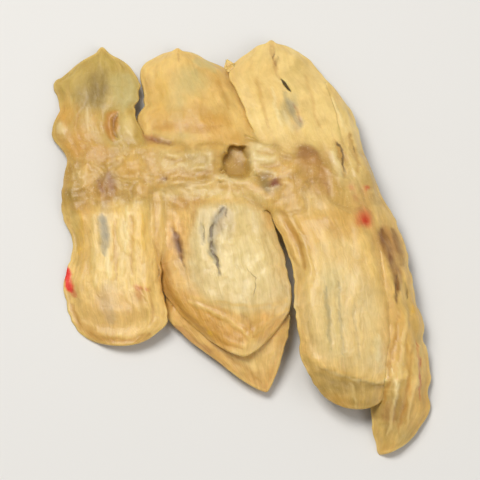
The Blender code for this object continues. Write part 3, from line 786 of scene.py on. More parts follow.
    ("red", 0.55, -0.15, 0.5, [(61.4, -42), (62.6, -50), (62.4, -58), (61.8, -62)]),
    ("amber", 0.5, -0.3, 0.9, [(57.5, -42), (59, -52), (59, -62)]),
    ("cream", 0.5, 0.7, 0.9, [(58.6, -31.6), (56.8, -45), (54.2, -59.8), (51.6, -74)]),
    ("cream", 0.45, 0.6, 0.8, [(62.6, -42), (61, -55), (57.7, -71)]),
    ("honey", 0.45, -0.5, 0.9, [(55.4, -34), (52.6, -48), (50.4, -63)]),
    ("honey", 0.45, -0.5, 0.8, [(60.4, -43), (58, -58), (55, -73)]),
    # a painted highlight along a ridge of the fourth clam
    ("white", 0.4, 0.35, 0.8, [(52.5, -51), (54.5, -57), (54, -63)]),
]

# A patch is (colour, how strong, height in mm, (X, SEEN), (half across, half along), lean in degrees).
PATCHES = [
    # the first clam
    ("moss", 0.3, 0.0, (-40, 43), (7.5, 8), 0),
    ("olive", 0.55, 0.0, (-46, 43), (4.5, 7.5), 0),
    ("amber", 0.4, 0.0, (-48, 30), (6, 7), 0),
    ("orange", 0.6, 0.25, (-41.2, 31), (2.6, 4.6), 8),
    ("cream", 0.55, 0.5, (-35.5, 30), (2.6, 4.6), 10),
    # a painted highlight on the rolled knob at the left edge
    ("white", 0.5, 0.5, (-58.6, 29.6), (1.8, 2.2), 0),
    ("amber", 0.6, 0.0, (-54, 24), (4.0, 4.8), 20),
    ("amber", 0.5, 0.0, (-46, 21), (7, 4), 0),
    ("amber", 0.5, 0.0, (-57, 34), (2.5, 5), 0),
    ("straw", 0.5, 0.4, (-34, 17), (3.8, 3.2), 0),
    ("brown", 0.5, 0.3, (-43.0, 10.5), (4.2, 4.8), -10),
    ("honey", 0.4, 0.0, (-43, 8), (5.0, 5.0), 0),
    ("olive", 0.5, 0.3, (-53, 7.5), (4.0, 3.4), 20),
    ("brown", 0.35, 0.0, (-52, 3), (3.5, 2.5), 0),
    ("pink", 0.6, 0.3, (-31, 8), (3.0, 3.0), 0),
    ("yellow", 0.35, 0.0, (-40.5, 2), (3.0, 3.0), 0),
    ("yellow", 0.25, 0.0, (-32, -5), (4.5, 8), 0),
    ("moss", 0.35, 0.0, (-53, -5), (3.0, 8), 0),
    ("toffee", 0.35, 0.0, (-50, -9), (3.0, 12), 0),
    ("toffee", 0.4, 0.0, (-50, 9), (5.0, 7), 0),
    ("pink", 0.55, 0.0, (-41, -33), (13, 8), 0),
    ("red", 0.4, 0.0, (-31, -24.6), (3.2, 0.9), -14),
    ("red", 0.25, 0.0, (-32, -26.6), (1.4, 2.2), 10),
    ("tan", 0.3, 0.0, (-31, -27), (3.5, 3.5), 0),
    # the second clam
    ("sage", 0.5, 0.0, (-14, 46), (7, 6), 0),
    ("sage", 0.3, 0.0, (-20, 38), (4, 8), 10),
    ("yellow", 0.25, 0.0, (-25, 42), (4, 9), 0),
    ("amber", 0.3, 0.0, (-26, 33), (4, 5), 0),
    ("toffee", 0.5, 0.0, (-13, 33), (14, 5), 0),
    ("amber", 0.5, 0.0, (-7, 31), (8, 4), 0),
    ("sage", 0.35, 0.0, (-20, 27), (8, 1.6), -6),
    ("amber", 0.4, 0.0, (-22, 29), (5, 3), 0),
    ("mauve", 0.6, 0.3, (-28.5, 25.8), (2.2, 1.6), 0),
    ("cream", 0.5, 0.0, (-23, 19), (5, 5), 0),
    ("sage", 0.35, 0.0, (-12, 18.5), (8, 4), 0),
    ("cream", 0.9, 0.4, (10, 19.5), (6, 5), -10),
    ("white", 0.4, 0.0, (8, 21.5), (4, 3), -10),
    ("butter", 0.7, 0.0, (-4, 7.5), (16, 3.4), 0),
    ("amber", 0.45, 0.0, (-35, 16.5), (4, 3.5), 0),
    ("ochre", 0.35, 0.0, (-11, 15), (8, 2.4), 0),
    ("cream", 0.45, 0.3, (-52, 13), (3.0, 4.0), 0),
    ("amber", 0.4, 0.0, (-50, 3), (4.0, 3.0), 0),
    ("amber", 0.5, 0.0, (-3, 26), (9, 3), 0),
    ("brown", 0.6, -0.3, (-23.2, 12.2), (1.2, 1.2), 0),
    ("honey", 0.4, 0.0, (-16, 5), (6, 4), 0),
    ("cream", 0.75, 0.0, (2, -13), (15, 16), 8),
    ("white", 0.4, 0.0, (3, -17), (10, 10), 0),
    ("lilac", 0.45, 0.0, (-3, -2), (3.5, 6), 10),
    ("tan", 0.55, 0.0, (-22.8, -22), (2.6, 11), 8),
    ("amber", 0.5, 0.0, (-12, -36), (9, 4), -35),
    ("amber", 0.6, 0.0, (-4, -34.5), (8, 3.4), -12),
    ("amber", 0.5, 0.0, (4, -40), (9, 4), 10),
    # the flap
    # painted light: a paler patch on the flap, where the second clam's shadow falls on it
    ("lemon", 0.6, 0.0, (7, -47), (10, 6), 0),
    ("pink", 0.3, 0.0, (12, -46), (6, 7), 0),
    # the third clam
    ("straw", 0.4, 0.0, (10, 45), (7, 10), 0),
    ("grey", 0.4, 0.0, (18.6, 36), (3.0, 6.5), -24),
    ("lilac", 0.4, 0.0, (22, 31), (2.2, 3.4), -30),
    ("mauve", 0.5, 0.3, (24.8, 19.5), (4.4, 3.4), 0),
    ("plum", 0.45, 0.2, (24.5, 21.5), (3.4, 2.0), 0),
    ("tan", 0.4, 0.0, (28, 12), (5, 6), 0),
    ("olive", 0.75, -0.2, (10.6, 10.6), (2.0, 4.2), 25),
    ("plum", 0.9, 0.3, (14.2, 10.6), (2.6, 2.2), -20),
    ("pink", 0.6, 0.3, (13.8, 7.2), (1.6, 1.6), 0),
    ("brown", 0.45, 0.0, (12, 14), (3.0, 1.6), 0),
    ("amber", 0.4, 0.0, (20, -2), (6, 9), 0),
    ("cream", 0.4, 0.0, (34, -14), (9, 9), 0),
    # painted shade: a darker patch on the third clam's crest, where the key light makes it bright
    ("toffee", 0.5, 0.0, (35, -2), (10, 6), -20),
    ("toffee", 0.3, 0.0, (26, -8), (3, 8), -20),
    ("cream", 0.5, 0.0, (33, -38), (6.5, 12), 0),
    ("cream", 0.4, 0.0, (47, -40), (5, 12), 0),
    ("olive", 0.25, 0.0, (38, -57.5), (13, 3.5), 6),
    ("amber", 0.3, 0.0, (35, -62), (6, 3), -20),
    # the fourth clam
    ("lemon", 0.5, 0.0, (40, 20), (4, 12), -15),
    ("red", 0.75, 0.0, (43.8, -1.0), (3.0, 3.4), 10),
    ("scarlet", 0.8, 0.0, (40.2, 9.2), (1.3, 1.1), 0),
    ("scarlet", 0.7, 0.0, (44.2, 9.4), (1.7, 0.9), 10),
    ("red", 0.5, 0.0, (41, 6.2), (1.0, 1.2), 0),
    ("cream", 0.4, 0.0, (41, 12), (4, 8), -10),
    ("tan", 0.25, 0.0, (44, 5), (4, 5), 0),
    ("tan", 0.5, 0.0, (51, -9), (5, 7), 20),
    ("amber", 0.4, 0.0, (55, -40), (8, 12), 0),
    ("yellow", 0.8, 0.2, (60.4, -31.5), (0.9, 2.0), 5),
    ("olive", 0.4, 0.0, (55, -68), (7, 9), 0),
    ("amber", 0.35, 0.0, (60, -64), (6, 9), 0),
    ("mauve", 0.35, 0.0, (52, -66), (3, 4), 0),
]

# A ledge is where one film ends on another: (height in mm, how far it fades back, the line that its edge
# follows, with the high side on the line's left).
# Each ledge's edge carries a painted highlight, a bright line along it.
LEDGES = [
    # the second foot's lower folds
    (0.35, 5.0, [(-17, -27.4), (-9, -29.2), (0, -30), (8, -30.4), (14, -30.2), (19.5, -29)]),
    (0.3, 2.6, [(-16, -28.6), (-9, -32), (-2, -35.4), (4, -39.8), (7, -43)]),
    (0.3, 2.4, [(4, -42), (9, -38.5), (13.5, -34), (19, -31.5)]),
    # the third clam's tip, thin past its foot
    (0.6, 5.0, [(24.5, -48), (30, -50.5), (36, -52.6), (43, -55), (50, -56.2), (55, -53.5)]),
    # the third clam's rolled left side
    (0.55, 3.4, [(25.5, -27), (26.6, -18.4), (25.2, -11.8), (21.6, -5), (17.2, 1.8), (13, 8)]),
    # the first foot's right side
    (0.35, 2.4, [(-31.5, -22), (-28.8, -28), (-27.8, -34), (-29.6, -40.5)]),
    # the film over the second foot
    (0.15, 4.0, [(9, 10), (2, 11.6), (-4, 12.4), (-10, 11.2), (-18, 10.8), (-25, 12)]),
]

# Where an edge or a stain is ragged, its outline wanders this far, in swells of this size.
WANDER, WANDER_SIZE = 0.8, 2.8
FINE_WANDER, FINE_WANDER_SIZE = 0.22, 1.0
STREAK_RELIEF = 0.55
STREAK_END = 0.35  # how wide a streak still is at its ends, as a share
# Where a patch or a streak starts to fade and where it is gone, as shares of its size, and how far it is
# looked for, as a share too and in mm past that.
PATCH_EDGE, STREAK_EDGE = (0.45, 1.2), (0.25, 1.25)
PATCH_REACH, STREAK_REACH, MARK_MARGIN = 1.4, 2, 2
# How far from its line a ledge rises, and where the painted highlight, a bright line on its edge, fades.
LEDGE_RISE, LEDGE_HIGHLIGHT_FADE, LEDGE_END = (-0.45, 0.15), (0.3, 0.9), 0.15
FAR = 1e9

# Where each kind of mark's random numbers start.
AREA_SEED, PATCH_SEED, STREAK_SEED, LEDGE_SEED = 100, 300, 500, 700


def wandering(x, seen, seed):
    """X and SEEN, nudged at random, so that no mark has a clean outline."""
    nudged_x = x + WANDER * rough(x / WANDER_SIZE, seen / WANDER_SIZE, seed)
    nudged_seen = seen + WANDER * rough(x / WANDER_SIZE, seen / WANDER_SIZE, seed + 7)
    nudged_x = nudged_x + FINE_WANDER * wrinkle(x / FINE_WANDER_SIZE, seen / FINE_WANDER_SIZE, seed + 3)
    return nudged_x, nudged_seen


def from_piece(x, seen, start, stop):
    """How far the points lie from a straight piece of line, aside and along, and the share of it passed."""
    run = np.subtract(stop, start).astype(float)
    aside, along = x - start[0], seen - start[1]
    share = np.clip((aside * run[0] + along * run[1]) / (run @ run), 0, 1)
    return aside - share * run[0], along - share * run[1], share


def from_line(x, seen, line):
    """The points' distance from the line, their side (1 is its left), its nearest piece and share of it."""
    nearest, side = np.full(x.shape, FAR), np.zeros(x.shape)
    piece, share = np.zeros(x.shape, int), np.zeros(x.shape)
    for number, (start, stop) in enumerate(zip(line[:-1], line[1:])):
        aside, along, passed = from_piece(x, seen, start, stop)
        left = np.sign((stop[0] - start[0]) * along - (stop[1] - start[1]) * aside)
        distance = np.hypot(aside, along)
        closer = distance < nearest
        nearest, side = np.where(closer, distance, nearest), np.where(closer, left, side)
        piece, share = np.where(closer, number, piece), np.where(closer, passed, share)
    return nearest, side, piece, share


def streak_mask(x, seen, half_width, line):
    """1 on the line, 0 past its half width, and thin at its two ends."""
    nearest, _, piece, share = from_line(x, seen, line)
    lengths = np.hypot(*np.diff(line, axis=0).T)
    passed = np.cumsum(lengths) - lengths
    way = (passed[piece] + share * lengths[piece]) / lengths.sum()
    taper = np.sqrt(np.clip(4 * way * (1 - way), 0, 1))
    reach = half_width * (STREAK_END + (1 - STREAK_END) * taper)
    return 1 - step(*STREAK_EDGE, nearest / reach)


def patch_mask(x, seen, centre, size, lean):
    """1 in the middle of a leaning oval, 0 past its edge."""
    lean = math.radians(lean)
    aside, along = x - centre[0], seen - centre[1]
    u = (aside * math.cos(lean) + along * math.sin(lean)) / size[0]
    v = (along * math.cos(lean) - aside * math.sin(lean)) / size[1]
    return 1 - step(*PATCH_EDGE, np.hypot(u, v))


def area_mask(x, seen, soft, outline):
    """1 inside the outline, 0 outside it, with an edge this soft."""
    inside, nearest = np.zeros(x.shape, bool), np.full(x.shape, FAR)
    for start, stop in zip(outline, outline[1:] + outline[:1]):
        run_x, run_seen = np.subtract(stop, start)
        crosses = (seen >= start[1]) != (seen >= stop[1])
        lean = run_x / run_seen if run_seen else 0.0
        inside ^= crosses & (x - start[0] < lean * (seen - start[1]))
        aside, along, _ = from_piece(x, seen, start, stop)
        nearest = np.minimum(nearest, np.hypot(aside, along))
    return step(-soft, soft, np.where(inside, nearest, -nearest))


def ledge_profile(x, seen, reach, line):
    """The ledge's height, 1 at its edge and fading back over its reach, and the distance from its edge."""
    nearest, side, piece, share = from_line(x, seen, line)
    way = (piece + share) / (len(line) - 1)
    ends = step(0, LEDGE_END, way) * (1 - step(1 - LEDGE_END, 1, way))
    signed = nearest * side
    return ends * step(*LEDGE_RISE, signed) * (1 - step(LEDGE_RISE[1], reach, signed)), ends * nearest


def near_line(x, seen, line, margin):
    """Which points lie near enough to the line to take part in its mark."""
    low, high = np.min(line, 0) - margin, np.max(line, 0) + margin
    return (x > low[0]) & (x < high[0]) & (seen > low[1]) & (seen < high[1])


def local_mask(x, seen, near, seed, mask_shape, *sizes):
    """A mark's mask, worked out only for the points near it."""
    mask = np.zeros(x.shape)
    mask[near] = mask_shape(*wandering(x[near], seen[near], seed), *sizes)
    return mask


def all_ledges(x, seen):
    """Each ledge's height and its painted highlight, a bright line on its edge, at these points."""
    for number, (height, reach, line) in enumerate(LEDGES):
        near = near_line(x, seen, line, reach + MARK_MARGIN)
        relief, edge = np.zeros(x.shape), np.zeros(x.shape)
        nudged = wandering(x[near], seen[near], LEDGE_SEED + number)
        relief[near], distance = ledge_profile(*nudged, reach, line)
        edge[near] = step(0, LEDGE_HIGHLIGHT_FADE[0], relief[near]) * (1 - step(*LEDGE_HIGHLIGHT_FADE, distance))
        yield height * relief, edge


def all_marks(x, seen):
    """Each mark's colour, strength and height at these points, in the order they lie on each other."""
    for number, (colour, strength, soft, outline) in enumerate(AREAS):
        mask = area_mask(*wandering(x, seen, AREA_SEED + number), soft, outline)
        yield colour, strength * mask, 0 * mask
    for number, (colour, strength, height, centre, size, lean) in enumerate(PATCHES):
        near = np.hypot(x - centre[0], seen - centre[1]) < PATCH_REACH * max(size) + MARK_MARGIN
        mask = local_mask(x, seen, near, PATCH_SEED + number, patch_mask, centre, size, lean)
        yield colour, strength * mask, height * mask
    for number, (colour, strength, height, half_width, line) in enumerate(STREAKS):
        near = near_line(x, seen, line, STREAK_REACH * half_width + MARK_MARGIN)
        mask = local_mask(x, seen, near, STREAK_SEED + number, streak_mask, half_width, line)
        yield colour, strength * mask, STREAK_RELIEF * height * mask


# ---- Torn film ----

# Shreds of film: (the root's X and SEEN, the way it points in degrees, how far that varies, its length, its
# width, how far it rises as a share of its length).
SHREDS = [
    # horns of film at both ends of the torn hole's lower edge
    ((-3.5, 12.6), 96, 5, 2.8, 3.4, 0.3),
    ((7.1, 12.6), 84, 5, 2.8, 3.6, 0.3),
    # a scrap between the second and the third mantle
    ((-1.6, 51.1), 120, 25, 2.2, 3.0, 0.1),
    ((-1.2, 50.1), 120, 25, 2.2, 3.0, 0.1),
]
SHRED_ROWS, SHRED_COLUMNS = 6, 4
SHRED_ROOT, SHRED_SINK = 0.35, 0.2  # how far a shred reaches back and down into the slab
SHRED_THICK, SHRED_TAPER, SHRED_BEND = 0.45, 0.6, 1.5
SHRED_SEED = 900
LOOK_FROM, LOWEST = 60.0, 2.0  # the surface is looked for from here down, and is higher than this


def surface_under(tree, x, seen):
    """The height of the slab's shown side at x and seen, or None past its edge."""
    start = Vector((in_place(x, seen, LOOK_FROM) - ORIGIN) * MM)
    place = tree.ray_cast(start, Vector((0, math.cos(LOOK_DOWN), -math.sin(LOOK_DOWN))))[0]
    return None if place is None or place.z < LOWEST * MM else place.z / MM + ORIGIN[2]


def shred_object(tree, root, turn, length, width, rise, number):
    """One tongue of film, rooted in the slab and thin at its ragged tip."""
    generator = np.random.default_rng(SHRED_SEED + number)
    way = np.linspace(-SHRED_ROOT, 1, SHRED_ROWS + 1)
    across = np.linspace(-1, 1, SHRED_COLUMNS + 1)
    out = np.clip(way, 0, 1)
    along_x, along_seen = math.cos(turn), math.sin(turn)
    spine_x, spine_seen = root[0] + along_x * length * way, root[1] + along_seen * length * way
    heights = []
    for at_x, at_seen in zip(spine_x, spine_seen):
        height = surface_under(tree, at_x, at_seen)
        heights.append(heights[-1] if height is None else height)
    lift = rise * length * out**SHRED_BEND - SHRED_SINK
    half = width / 2 * (1 - SHRED_TAPER * out**SHRED_BEND) * generator.uniform(0.85, 1.15, len(way))
    ahead = out[:, None] * length * generator.uniform(-0.45, 0.25, len(across))
    x = spine_x[:, None] - along_seen * half[:, None] * across + along_x * ahead
    seen = spine_seen[:, None] + along_x * half[:, None] * across + along_seen * ahead
    curl = generator.uniform(-0.2, 0.3) * half[:, None] * across**2
    middle = in_place(x, seen, (np.array(heights) + lift)[:, None] + curl)
    half_thick = np.broadcast_to((SHRED_THICK / 2 * (1 - 0.5 * out))[:, None], x.shape)
    facts = {
        "sheet": np.full(x.shape, float(SHEET_NUMBERS["seam film"])),
        "inset": np.full(x.shape, FAR_INSIDE),
        "aside": x,
        "flesh": np.zeros(x.shape),
    }
    return closed_sheet(f"shred {number}", middle, half_thick, half_thick, SHRED_THICK / 3, facts)


def torn_film(slab):
    """All the shreds, each at its own random turn and size."""
    mesh = slab.data
    tree = BVHTree.FromPolygons([v.co for v in mesh.vertices], [p.vertices for p in mesh.polygons])
    generator = np.random.default_rng(77)
    shreds = []
    for number, (root, turn, spread, length, width, rise) in enumerate(SHREDS):
        heading = math.radians(turn + spread * generator.uniform(-1, 1))
        size = generator.uniform(0.7, 1.4)
        shreds.append(shred_object(tree, root, heading, length * size, width * size**0.5, rise, number))
    return shreds


# ---- The slab ----

SEAM_ROUNDS, SEAM_SHARE = 12, 0.5
MELT_ROUNDS, MELT_REACH, MELT_STRENGTH = 40, 8, 3
# The seams have grown together from here up, in SEEN: the first clam's lower down than the others'.
GROWN_FIRST, GROWN_OTHERS, GROWN_BLUR = -26, -12, 12
GROWN_TOP = (27, 32)

# Relief in mm, and how much of it the gut band hides.
FOLD_RELIEF, FOLD_HIDDEN = 0.26, 0.8
CRUMPLE_RELIEF, CRUMPLE_HIDDEN = 0.09, 0.6
LUMP_RELIEF = 0.4
CHALK_RELIEF, CHALK_BLUR, CHALK_SIZE = 0.3, 3.0, (2.3, 2.6)
BEAD_RELIEF, BEAD_EDGE = 0.06, (0.2, 1.0)
UNDER_RELIEF, UNDER_SIZE = 0.25, (2.4, 10)
FULL_RELIEF = 1.6  # how far in from the rim the relief is whole
RIM_MARKS = 0.3  # how much of a mark's height is left at the rim

# Drifting relief: how far it drifts aside, the width and length of the drifts, and its own width and length.
FOLD_DRIFT = (1.6, 7, 9, 3.2, 17)
CRUMPLE_DRIFT = (0.9, 4, 4, 3.2, 6.0)
LUMP_DRIFT = (1.5, 5, 5, 3.6, 2.9)
SHEET_SHIFT = 7.7  # how far each sheet's random relief lies from the next one's

# The ledge tint is a painted highlight along each ledge's edge.
GUT_TINT, LEDGE_HIGHLIGHT_TINT = 0.5, 0.55
# Painted shade in the hollows and painted highlight on the crests of the folds, creases and gut lumps; for
# the flesh, random mottle.
SHADE_HIGHLIGHT_AND_MOTTLE_TINTS = {"folds": 0.3, "crumple": 0.15, "flesh": 0.25, "gut": 0.4}
# The bead tint is a painted highlight on the rim.
LINE_TINT, RIM_HIGHLIGHT_TINT = 0.22, 0.4
SEAM_BLEED, BLEED_ROUNDS = 0.8, 6
FIBRE_UNIT, FIBRE_SHIFT = 10, 7.3  # the fibres' map is in centimetres, and each sheet has its own part of it


def drifting(x, seen, sizes, shift, seed):
    """X, drifted aside at random, and SEEN, as widths and lengths of the relief."""
    drift, drift_width, drift_length, width, length = sizes
    drifted = x + drift * wrinkle(x / drift_width + shift, seen / drift_length + shift, seed)
    return drifted / width + shift, seen / length + shift


def long_folds(aside, seen, shift):
    """The soft folds that run down each clam, from about -1 to 1."""
    return rough(*drifting(aside, seen, FOLD_DRIFT, shift, 60), 61, 2)


def crumple(aside, seen, shift):
    """The small creases that drying left all over the film, from about -1 to 1."""
    return creased(*drifting(aside, seen, CRUMPLE_DRIFT, shift, 65), 66)


def gut_lumps(x, seen):
    """The small lumps and shreds of the gut band, from about -1 to 1."""
    return 0.6 * creased(*drifting(x, seen, LUMP_DRIFT, 0, 67), 63) + 0.5 * rough(x / 1.9, seen / 1.6, 68, 2)


def below_gut(seen):
    """1 in the feet, 0 in the gut band and above it."""
    return 1 - step(-6, 8, seen)


def slab_skin():
    """The slab's closed skin, with what the colours need to know of each point.

    The unions leave two small crumbs inside it, which don't show.
    """
    slab, *others = [sheet_object(name) for name in SHEETS if name != "back wall"]
    bpy.context.scene.collection.objects.link(slab)
    combine(slab, others, "UNION")
    combine(slab, [cutter_object(name, cut) for name, cut in CUTS.items()], "DIFFERENCE")
    fill_cut_walls(slab.data)
    combine(slab, [sheet_object("back wall")], "UNION")
    slab.name = slab.data.name = "dried_clam_slab"
    return slab


def slab_plan(places):
    """X and SEEN, in the slab's own mm, of points of the finished mesh."""
    mm = places / MM + ORIGIN
    return mm[:, 0], mm[:, 1] * math.sin(LOOK_DOWN) + mm[:, 2] * math.cos(LOOK_DOWN)


def shown_share(facts, low=-0.2, high=0.6):
    """1 on the shown side, 0 on the underside, smooth between."""
    return step(low, high, facts["side"])


def on_sheet(facts, name):
    return np.round(facts["sheet"]) == SHEET_NUMBERS[name]


def seam_shares(mesh, facts):
    """1 where two sheets are grown together, in the gut and just round it, and 0 elsewhere."""
    x, seen = slab_plan(read_points(mesh))
    edges = edges_of(mesh)
    meets = np.abs(np.diff(facts["sheet"][edges], axis=1)[:, 0]) > 0.01
    seam = np.zeros((len(seen), 1))
    seam[edges[meets].ravel()] = 1
    seam = smoothed(seam, edges, np.ones(len(seen)), MELT_REACH)[:, 0]
    low = np.where(x < 0, GROWN_FIRST, GROWN_OTHERS)
    grown = step(low, low + GROWN_BLUR, seen) * (1 - step(*GROWN_TOP, seen))
    shown = shown_share(facts, high=0.3)
    return np.clip(MELT_STRENGTH * seam, 0, 1) * grown * shown * ~on_sheet(facts, "back wall")


def melt_seams(mesh, facts):
    """Round off the gut band and the seams that its film has grown over."""
    edges = edges_of(mesh)
    places = read_points(mesh)
    _, seen = slab_plan(places)
    places = smoothed(places, edges, SEAM_SHARE * gut_band(seen) * shown_share(facts), SEAM_ROUNDS)
    seam = seam_shares(mesh, facts)
    write_points(mesh, smoothed(places, edges, SEAM_SHARE * seam, MELT_ROUNDS))
    softened = ("inset", "side", "flesh")
    blurred = smoothed(np.column_stack([facts[name] for name in softened]), edges, seam, MELT_ROUNDS)
    facts.update(zip(softened, blurred.T))
    facts["inset"] = facts["inset"] + FAR_INSIDE * seam
    write_facts(mesh, facts)


def shape_slab(slab, facts):
    """Melt the seams, then raise the lumps, folds, creases and marks."""
    mesh = slab.data
    melt_seams(mesh, facts)
    places = read_points(mesh)
    normals = read_vectors(mesh.vertex_normals, "vector")
    x, seen = slab_plan(places)
    band, shown = gut_band(seen), shown_share(facts)
    shift, aside = facts["sheet"] * SHEET_SHIFT, facts["aside"]
    inner = step(0, FULL_RELIEF, facts["inset"])
    height = FOLD_RELIEF * long_folds(aside, seen, shift) * (1 - FOLD_HIDDEN * band) * inner
    height = height + CRUMPLE_RELIEF * crumple(aside, seen, shift) * (1 - CRUMPLE_HIDDEN * band) * inner
    height = height + LUMP_RELIEF * gut_lumps(x, seen) * band * inner
    chalky = area_mask(x, seen, CHALK_BLUR, CHALKY_FOOT) * on_sheet(facts, "second")
    height = height + CHALK_RELIEF * rough(x / CHALK_SIZE[0], seen / CHALK_SIZE[1], 82) * chalky
    for _, _, mark_height in all_marks(x, seen):
        height = height + mark_height * (RIM_MARKS + (1 - RIM_MARKS) * inner)
    for ledge_height, _ in all_ledges(x, seen):
        height = height + ledge_height
    height = height + BEAD_RELIEF * (1 - step(*BEAD_EDGE, facts["inset"])) * (1 - band)
    height = height * shown * ~on_sheet(facts, "back wall")
    under = rough(aside / UNDER_SIZE[0] + shift, seen / UNDER_SIZE[1] + shift, 64)
    under = UNDER_RELIEF * under * (1 - shown) * inner
    places = places + normals * ((height + under) * MM)[:, None]
    places[:, 2] = np.maximum(places[:, 2], 0)
    write_points(mesh, places)


def blended(colour, other, share):
    """The colour with the other one over it, by the share at each point."""
    share = np.clip(share, 0, 1)[:, None]
    return colour * (1 - share) + plain(other) * share


def sheet_colour(facts, seen):
    """Each sheet's own colours: its mantle, its foot and the thin flesh round it, and browner in the gut."""
    sheet = np.clip(np.round(facts["sheet"]).astype(int), 0, len(SHEETS) - 1)
    own = np.array([[plain(part) for part in SHEET_COLOURS[name]] for name in SHEETS])
    mantle, foot, thin = (own[sheet, part] for part in range(3))
    lower, flesh = below_gut(seen)[:, None], facts["flesh"][:, None]
    colour = mantle * (1 - lower) + thin * lower
    return blended(colour * (1 - flesh) + foot * flesh, "toffee", GUT_TINT * gut_band(seen))


def clouded(colour, x, seen):
    """The colour with large, faint clouds of other tints."""
    clouds, tints = rough(x / 8, seen / 10, 71), rough(x / 6 + 9, seen / 8, 72)
    for tint, share, low, cloud in (
        ("wheat", 0.4, 0.0, clouds), ("lemon", 0.35, 0.0, -clouds),
        ("honey", 0.15, 0.1, tints), ("moss", 0.35, 0.1, -tints),
    ):
        colour = blended(colour, tint, share * step(low, 0.8, cloud))
    return colour


def folded(colour, facts, x, seen):
    """The colour, darker in the hollows of each kind of relief and paler on its crests: painted shade and
    painted highlight on the folds, creases and gut lumps, random mottle in the flesh.
    """
    shift, aside, band = facts["sheet"] * SHEET_SHIFT, facts["aside"], gut_band(seen)
    lobes = (0.4 + 0.6 * (1 - step(4, 16, seen))) * (1 - FOLD_HIDDEN * band)
    reliefs = {
        "folds": long_folds(aside, seen, shift) * lobes,
        "crumple": crumple(aside, seen, shift),
        "flesh": rough(x / 4.5 + 5, seen / 5.5, 77),
        "gut": gut_lumps(x, seen) * band,
    }
    for name, relief in reliefs.items():
        # painted shade in each relief's hollows, then painted highlight on its crests (random mottle for the
        # flesh)
        colour = blended(colour, "shade", SHADE_HIGHLIGHT_AND_MOTTLE_TINTS[name] * step(0, 1, -relief))
        colour = blended(colour, "pale", SHADE_HIGHLIGHT_AND_MOTTLE_TINTS[name] * step(0, 1, relief))
    return colour


def rimmed(colour, facts, x, seen):
    """The colour with a pale bead on the rim, which is a painted highlight, and, in places, a darker line
    inside it.
    """
    inset = facts["inset"]
    darker = step(-0.5, 0.6, rough(x / 5, seen / 5, 76))
    past_bead = step(0.2, 0.9, inset)
    line = past_bead * (1 - step(0.9, 3.2, inset)) * (0.35 + 0.65 * below_gut(seen))
    colour = blended(colour, "honey", LINE_TINT * darker * line)
    # the pale bead on the rim is a painted highlight
    return blended(colour, "pale", RIM_HIGHLIGHT_TINT * (1 - darker) * (1 - past_bead))


def paint_slab(slab, facts):
    """The colour of the flesh at each point, with the shown side in its fourth channel."""
    mesh = slab.data
    x, seen = slab_plan(read_points(mesh))
    shift = facts["sheet"] * SHEET_SHIFT
    colour = clouded(sheet_colour(facts, seen), x, seen)
    colour = rimmed(folded(colour, facts, x, seen), facts, x, seen)
    streaky = 1.0 + 0.5 * rough(facts["aside"] / 1.8 + shift, seen / 3 + shift, 75)
    for name, strength, _ in all_marks(x, seen):
        colour = blended(colour, name, strength * streaky)
    # each ledge's edge gets a painted highlight in butter
    for _, edge in all_ledges(x, seen):
        colour = blended(colour, "butter", LEDGE_HIGHLIGHT_TINT * edge * streaky)
    colour = smoothed(colour, edges_of(mesh), SEAM_BLEED * seam_shares(mesh, facts), BLEED_ROUNDS)
    layer = mesh.color_attributes.new("flesh colour", "FLOAT_COLOR", "POINT")
    rows = np.column_stack([colour, shown_share(facts, 0.2, 0.8)])
    layer.data.foreach_set("color", rows.astype(np.float32).ravel())


def map_fibres(slab, facts):
    """The UV map that the fibres follow: across the clam and along it, in centimetres."""
    mesh = slab.data
    _, seen = slab_plan(read_points(mesh))
    corners = np.empty(len(mesh.loops), np.int32)
    mesh.loops.foreach_get("vertex_index", corners)
    across = facts["aside"] / FIBRE_UNIT + facts["sheet"] * FIBRE_SHIFT
    flat = np.column_stack([across, seen / FIBRE_UNIT])[corners]
    layer = mesh.uv_layers.new(name="fibres")
    layer.data.foreach_set("uv", flat.astype(np.float32).ravel())


# ---- The material ----


class Number:
    """A shader value that takes part in sums."""

    def __init__(self, nodes, socket):
        self.nodes, self.socket = nodes, socket

    def worked(self, operation, *others):
        """What the operation makes of this value and the others."""
        inputs = {place: other for place, other in enumerate((self, *others))}
        return self.nodes.add("ShaderNodeMath", {"operation": operation}, inputs)

    def __add__(self, other):
        return self.worked("ADD", other)

    def __sub__(self, other):
        return self.worked("SUBTRACT", other)

    def __mul__(self, other):
        return self.worked("MULTIPLY", other)

    def __rsub__(self, other):
        return (self * -1) + other

    __radd__ = __add__
    __rmul__ = __mul__

    def between(self, low, high):
        """0 below low, 1 above high, smooth between."""
        inputs = {"Value": self, "From Min": low, "From Max": high}
        return self.nodes.add("ShaderNodeMapRange", {"interpolation_type": "SMOOTHSTEP"}, inputs)


